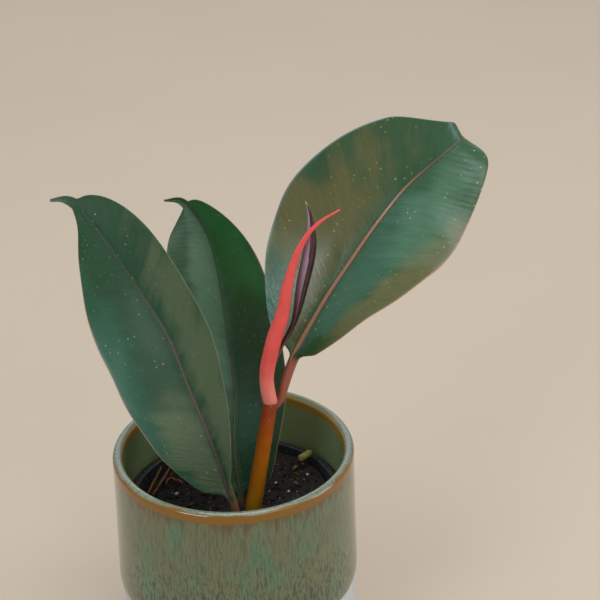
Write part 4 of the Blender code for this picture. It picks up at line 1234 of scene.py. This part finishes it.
def bud_sheath_skin(shoot):
    """Bud sheath: a thin living skin, satin and coral red, that lets a little light through."""
    made, tree, shader = new_material("coral bud sheath", 0.36, 1.42,
                                      {"Subsurface Weight": 0.35, "Subsurface Scale": 0.003,
                                       "Subsurface Radius": (1.0, 0.25, 0.15)})
    place = add_node(tree, "ShaderNodeTexCoord", {}, {}).outputs["Object"]
    # Streaks 0.7 mm across along the sheath, and blushes of 8 mm.
    tall = add_node(tree, "ShaderNodeMapping", {}, {"Vector": place, "Scale": (1.0, 1.0, 0.10)})
    streaks = add_node(tree, "ShaderNodeTexNoise", {},
                       {"Vector": tall.outputs[0], "Scale": 1500.0, "Detail": 3.0})
    blush = add_node(tree, "ShaderNodeTexNoise", {},
                     {"Vector": place, "Scale": 120.0, "Detail": 3.0})
    blend = add_node(tree, "ShaderNodeMath", {"operation": "MULTIPLY_ADD"},
                     {0: streaks.outputs["Fac"], 1: 0.4, 2: blush.outputs["Fac"]})
    deep = tuple(0.88 * c for c in shoot.sheath)
    ramp = add_node(tree, "ShaderNodeValToRGB", {}, {"Fac": blend.outputs[0]},
                    ((0.52, deep), (0.86, tuple(shoot.sheath))))
    # It pales over its lowest 24 mm.
    split = add_node(tree, "ShaderNodeSeparateXYZ", {}, {"Vector": place})
    low = add_node(tree, "ShaderNodeMapRange", {"interpolation_type": "SMOOTHSTEP"},
                   {"Value": split.outputs["Z"], "From Min": STEM_TIP[2],
                    "From Max": STEM_TIP[2] + 0.024, "To Min": 0.75, "To Max": 0.0})
    paled = add_node(tree, "ShaderNodeMix", {"data_type": "RGBA"},
                     {0: low.outputs[0], 6: ramp.outputs[0], 7: tuple(shoot.cuff)})
    # A pale scar near the cuff, then a clear red blush and a rust spot in the bend.
    marked = paled.outputs[2]
    for spot, size, colour in (((-0.0046, -0.0020, 0.0045), 0.0011, "#F2B8A0"),
                               ((-0.0040, -0.0030, 0.0150), 0.0030, "#F05F50"),
                               ((0.0042, -0.0016, 0.0175), 0.0008, "#8C3A10")):
        away = add_node(tree, "ShaderNodeVectorMath", {"operation": "DISTANCE"},
                        {0: place, 1: tuple(np.add(spot, STEM_TIP))})
        share = add_node(tree, "ShaderNodeMapRange", {"interpolation_type": "SMOOTHSTEP"},
                         {"Value": away.outputs["Value"], "From Min": size * 0.4,
                          "From Max": size, "To Min": 0.8, "To Max": 0.0})
        marked = add_node(tree, "ShaderNodeMix", {"data_type": "RGBA"},
                          {0: share.outputs[0], 6: marked, 7: linear(colour)}).outputs[2]
    tree.links.new(marked, shader.inputs["Base Color"])
    add_bump(tree, shader, streaks.outputs["Fac"], 0.0001, 0.35)
    return made


class BuildRedSheath(bpy.types.Operator):
    """Build the opened red bud sheath with its cuff and its curled point"""

    bl_idname = "rubber_plant.red_sheath"
    bl_label = "Red Sheath"

    def execute(self, context):
        """Loft a rolled strip whose wrap opens above the cuff."""
        shoot = context.scene.plant_shoot
        steps = 140
        samples = np.linspace(0, 1, steps)
        line, _ = spline(from_tip(SHEATH_LINE), samples)
        radii = SHEATH_CUP_RADIUS * eased(SHEATH_SHARES, samples, 20)
        angles = np.radians(eased(SHEATH_WRAP, samples, 20))
        normals, across = rail_frames(line, SHEATH_FACES)
        points = []
        columns = 26
        for row in range(steps):
            radius, wrap = radii[row], angles[row]
            wall = min(0.0005, 0.6 * radius)
            lip = min(1.0, (row + 1) / 5)
            radius -= wall * 0.5 * (1 - lip) ** 2
            turns = np.linspace(-wrap, wrap, columns)
            outer = [radius + 0.00012 * noise.noise(Vector((a * 2, samples[row] * 18, 0.4)))
                     for a in turns]
            inner = [radius - wall * (0.4 + 0.6 * lip)] * columns
            for a, reach in zip((*turns, *turns[::-1]), outer + inner):
                out = math.cos(a) * normals[row] + math.sin(a) * across[row]
                points.append(line[row] + reach * out)
        piece = mesh_piece("open_red_sheath", points, skin_faces(steps, 2 * columns),
                           [bud_sheath_skin(shoot)])
        stands_for(piece, "red_sheath_skin", "red_sheath")
        return {"FINISHED"}


def rolled_leaf_skin(shoot):
    """Newest leaf: tender cuticle, dark wine red and wet-looking, with fine ribs along the roll."""
    made, tree, shader = new_material("rolled wine red leaf", 0.20, 1.46,
                                      {"Coat Weight": 0.5, "Coat Roughness": 0.12})
    place = add_node(tree, "ShaderNodeTexCoord", {}, {}).outputs["Object"]
    roll = add_node(tree, "ShaderNodeUVMap", {"uv_map": "roll"}, {})
    stretched = add_node(tree, "ShaderNodeMapping", {},
                         {"Vector": roll.outputs[0], "Scale": (30.0, 2.0, 1.0)})
    ribs = add_node(tree, "ShaderNodeTexNoise", {}, {"Vector": stretched.outputs[0], "Scale": 1.0,
                                                     "Detail": 3.0})
    blotch = add_node(tree, "ShaderNodeTexNoise", {}, {"Vector": place, "Scale": 200.0})
    blend = add_node(tree, "ShaderNodeMath", {"operation": "MULTIPLY_ADD"},
                     {0: ribs.outputs["Fac"], 1: 0.6, 2: blotch.outputs["Fac"]})
    ramp = add_node(tree, "ShaderNodeValToRGB", {}, {"Fac": blend.outputs[0]},
                    ((0.50, linear("#2A0E16")), (0.95, tuple(shoot.rolled))))
    # Painted highlight: a pale lilac stripe along the lapped edge, strongest towards the tip, stands
    # in for the shine of the light on the roll.
    tip = add_node(tree, "ShaderNodeSeparateXYZ", {}, {"Vector": roll.outputs[0]})
    near = add_node(tree, "ShaderNodeMapRange", {"interpolation_type": "SMOOTHSTEP"},
                    {"Value": tip.outputs["X"], "From Min": -0.80, "From Max": -0.96,
                     "To Max": 0.85})
    high = add_node(tree, "ShaderNodeMapRange", {"interpolation_type": "SMOOTHSTEP"},
                    {"Value": tip.outputs["Y"], "From Min": 0.35, "From Max": 0.75})
    painted_highlight = add_node(tree, "ShaderNodeMath", {"operation": "MULTIPLY"},
                      {0: near.outputs[0], 1: high.outputs[0]})
    edged = add_node(tree, "ShaderNodeMix", {"data_type": "RGBA"},
                     {0: painted_highlight.outputs[0], 6: ramp.outputs[0], 7: linear("#A88C9C")})
    pale = add_node(tree, "ShaderNodeMapRange", {"interpolation_type": "SMOOTHSTEP"},
                    {"Value": tip.outputs["Y"], "From Min": 0.975, "From Max": 0.99})
    tipped = add_node(tree, "ShaderNodeMix", {"data_type": "RGBA"},
                      {0: pale.outputs[0], 6: edged.outputs[2], 7: linear("#A89A70")})
    tree.links.new(tipped.outputs[2], shader.inputs["Base Color"])
    add_bump(tree, shader, ribs.outputs["Fac"], 0.00012, 0.5)
    return made


class BuildRolledLeaf(bpy.types.Operator):
    """Build the newest leaf, rolled up with one edge lapped over the other"""

    bl_idname = "rubber_plant.rolled_leaf"
    bl_label = "Rolled Leaf"

    def execute(self, context):
        """Loft a spiral outline whose step is the leaf's free edge."""
        shoot = context.scene.plant_shoot
        steps, around = 150, 56
        samples = np.linspace(0, 1, steps)
        line, _ = spline(from_tip(ROLLED_LINE), samples)
        radii = eased(ROLLED_RADII, samples, 9)
        radii[-1] = 0.00012
        normals, across = rail_frames(line, (0, -1, 0.2))
        points, roll = [], []
        for centre, normal, side, radius, sample in zip(line, normals, across, radii, samples):
            seam = 1.35 + 0.3 * sample
            for k in range(around):
                turn = 2 * math.pi * k / around
                lap = (seam - turn) % (2 * math.pi) / (2 * math.pi)
                step = max(lap, 1 - lap / 0.03)
                reach = radius * (0.84 + 0.16 * step ** 0.8)
                points.append(centre + reach * (math.cos(turn) * side + math.sin(turn) * normal))
                roll.append((math.cos(math.pi * lap), sample))
        piece = mesh_piece("rolled_wine_leaf", points, skin_faces(steps, around),
                           [rolled_leaf_skin(shoot)], None, {"roll": roll})
        stands_for(piece, "new_leaf", "rolled_leaf")
        return {"FINISHED"}


def plain_floor(stage):
    """Matt painted board: plain and pale, so that only the plant draws the eye."""
    made, tree, shader = new_material("matt painted board", 0.7, 1.45, {})
    place = add_node(tree, "ShaderNodeTexCoord", {}, {}).outputs["Object"]
    clouds = add_node(tree, "ShaderNodeTexNoise", {}, {"Vector": place, "Scale": 6.0})
    tone = tuple(stage.floor)
    ramp = add_node(tree, "ShaderNodeValToRGB", {}, {"Fac": clouds.outputs["Fac"]},
                    ((0.3, tuple(0.97 * c for c in tone)), (0.7, tone)))
    tree.links.new(ramp.outputs[0], shader.inputs["Base Color"])
    return made


def add_softbox(name, at, aim, size, power, colour):
    """A rectangular area light that looks at a point."""
    light = bpy.data.lights.new(name, "AREA")
    light.shape = "RECTANGLE"
    light.size, light.size_y = size
    light.energy = power
    light.color = colour
    lamp = bpy.data.objects.new(name, light)
    lamp.location = at
    lamp.rotation_euler = (Vector(aim) - Vector(at)).to_track_quat("-Z", "Y").to_euler()
    bpy.context.scene.collection.objects.link(lamp)


class BuildStage(bpy.types.Operator):
    """Build the floor, the soft lights and the camera"""

    bl_idname = "rubber_plant.stage"
    bl_label = "Stage"

    def execute(self, context):
        """Lay the floor, hang the lights and place the camera."""
        stage = context.scene.plant_stage
        mesh = bpy.data.meshes.new("floor")
        reach = 6.0
        mesh.from_pydata([(-reach, -reach, 0), (reach, -reach, 0), (reach, reach, 0),
                          (-reach, reach, 0)], [], [(0, 1, 2, 3)])
        mesh.materials.append(plain_floor(stage))
        floor = bpy.data.objects.new("floor", mesh)
        context.scene.collection.objects.link(floor)
        aim = (0.0, 0.0, 0.14)
        add_softbox("overhead softbox", (0.10, 0.0, 1.50), aim, (1.1, 0.9), stage.key,
                    (0.94, 0.97, 1.0))
        add_softbox("broad front fill", (0.85, -1.25, 1.30), aim, (1.3, 1.0), stage.fill,
                    (1.0, 0.98, 0.95))
        add_softbox("cool window by the camera", (-0.73, -0.97, 0.76), aim, (0.55, 0.24),
                    stage.window, (0.70, 0.87, 1.0))
        add_softbox("cool window right", (1.25, -0.10, 0.45), aim, (0.5, 0.8),
                    stage.window * 0.9, (0.74, 0.88, 1.0))
        add_softbox("bright wall behind", (-0.10, 1.60, 1.05), aim, (1.8, 0.8), stage.window,
                    (0.90, 0.95, 1.0))
        world = bpy.data.worlds.new("pale room")
        context.scene.world = world
        context.scene.view_settings.view_transform = "Standard"
        world.use_nodes = True
        sky = world.node_tree.nodes["Background"]
        sky.inputs["Color"].default_value = (0.86, 0.89, 0.92, 1.0)
        sky.inputs["Strength"].default_value = stage.room
        lens = bpy.data.cameras.new("camera")
        lens.sensor_width = 36.0
        lens.lens = stage.lens
        lens.clip_start = 0.01
        camera = bpy.data.objects.new("camera", lens)
        context.scene.collection.objects.link(camera)
        tilt = Matrix.Rotation(math.pi / 2 - stage.pitch, 4, "X")
        lean = Matrix.Rotation(stage.roll, 4, "Z")
        camera.matrix_world = Matrix.Translation(stage.camera_at) @ tilt @ lean
        context.scene.camera = camera
        return {"FINISHED"}


class PlantPanel(bpy.types.Panel):
    """The plant's settings and its building steps."""

    bl_idname = "VIEW3D_PT_rubber_plant"
    bl_label = "Rubber Plant"
    bl_space_type = "VIEW_3D"
    bl_region_type = "UI"
    bl_category = "Rubber Plant"

    def draw(self, context):
        """List each group of settings, then each step."""
        scene = context.scene
        for group in SETTINGS:
            box = self.layout.box()
            values = getattr(scene, group)
            for name in values.bl_rna.properties.keys():
                if name not in {"rna_type", "name"}:
                    box.prop(values, name)
        for step in STEPS:
            self.layout.operator(step.bl_idname)


SETTINGS = {"plant_pot": PotSettings, "plant_soil": SoilSettings, "plant_leaf": LeafSettings,
            "plant_shoot": ShootSettings, "plant_stage": StageSettings}
STEPS = (BuildStage, BuildCoverPot, FinishNurseryPot, BuildSoil, BuildLooseBits, BuildStem,
         BuildLeaves, BuildRedSheath, BuildRolledLeaf)


def register():
    """Register the settings, the steps and the panel."""
    for group, kind in SETTINGS.items():
        bpy.utils.register_class(kind)
        setattr(bpy.types.Scene, group, PointerProperty(type=kind))
    for step in STEPS:
        bpy.utils.register_class(step)
    bpy.utils.register_class(PlantPanel)


def unregister():
    """Take everything back out in the opposite order."""
    bpy.utils.unregister_class(PlantPanel)
    for step in reversed(STEPS):
        bpy.utils.unregister_class(step)
    for group, kind in reversed(SETTINGS.items()):
        delattr(bpy.types.Scene, group)
        bpy.utils.unregister_class(kind)


def main():
    """Clear the start-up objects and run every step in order."""
    for name in ("Cube", "Light", "Camera"):
        if name in bpy.data.objects:
            bpy.data.objects.remove(bpy.data.objects[name])
    register()
    bpy.ops.rubber_plant.stage()
    bpy.ops.rubber_plant.cover_pot()
    bpy.ops.rubber_plant.nursery_pot()
    bpy.ops.rubber_plant.soil()
    bpy.ops.rubber_plant.loose_bits()
    bpy.ops.rubber_plant.stem()
    bpy.ops.rubber_plant.leaves()
    bpy.ops.rubber_plant.red_sheath()
    bpy.ops.rubber_plant.rolled_leaf()


if __name__ == "__main__":
    main()
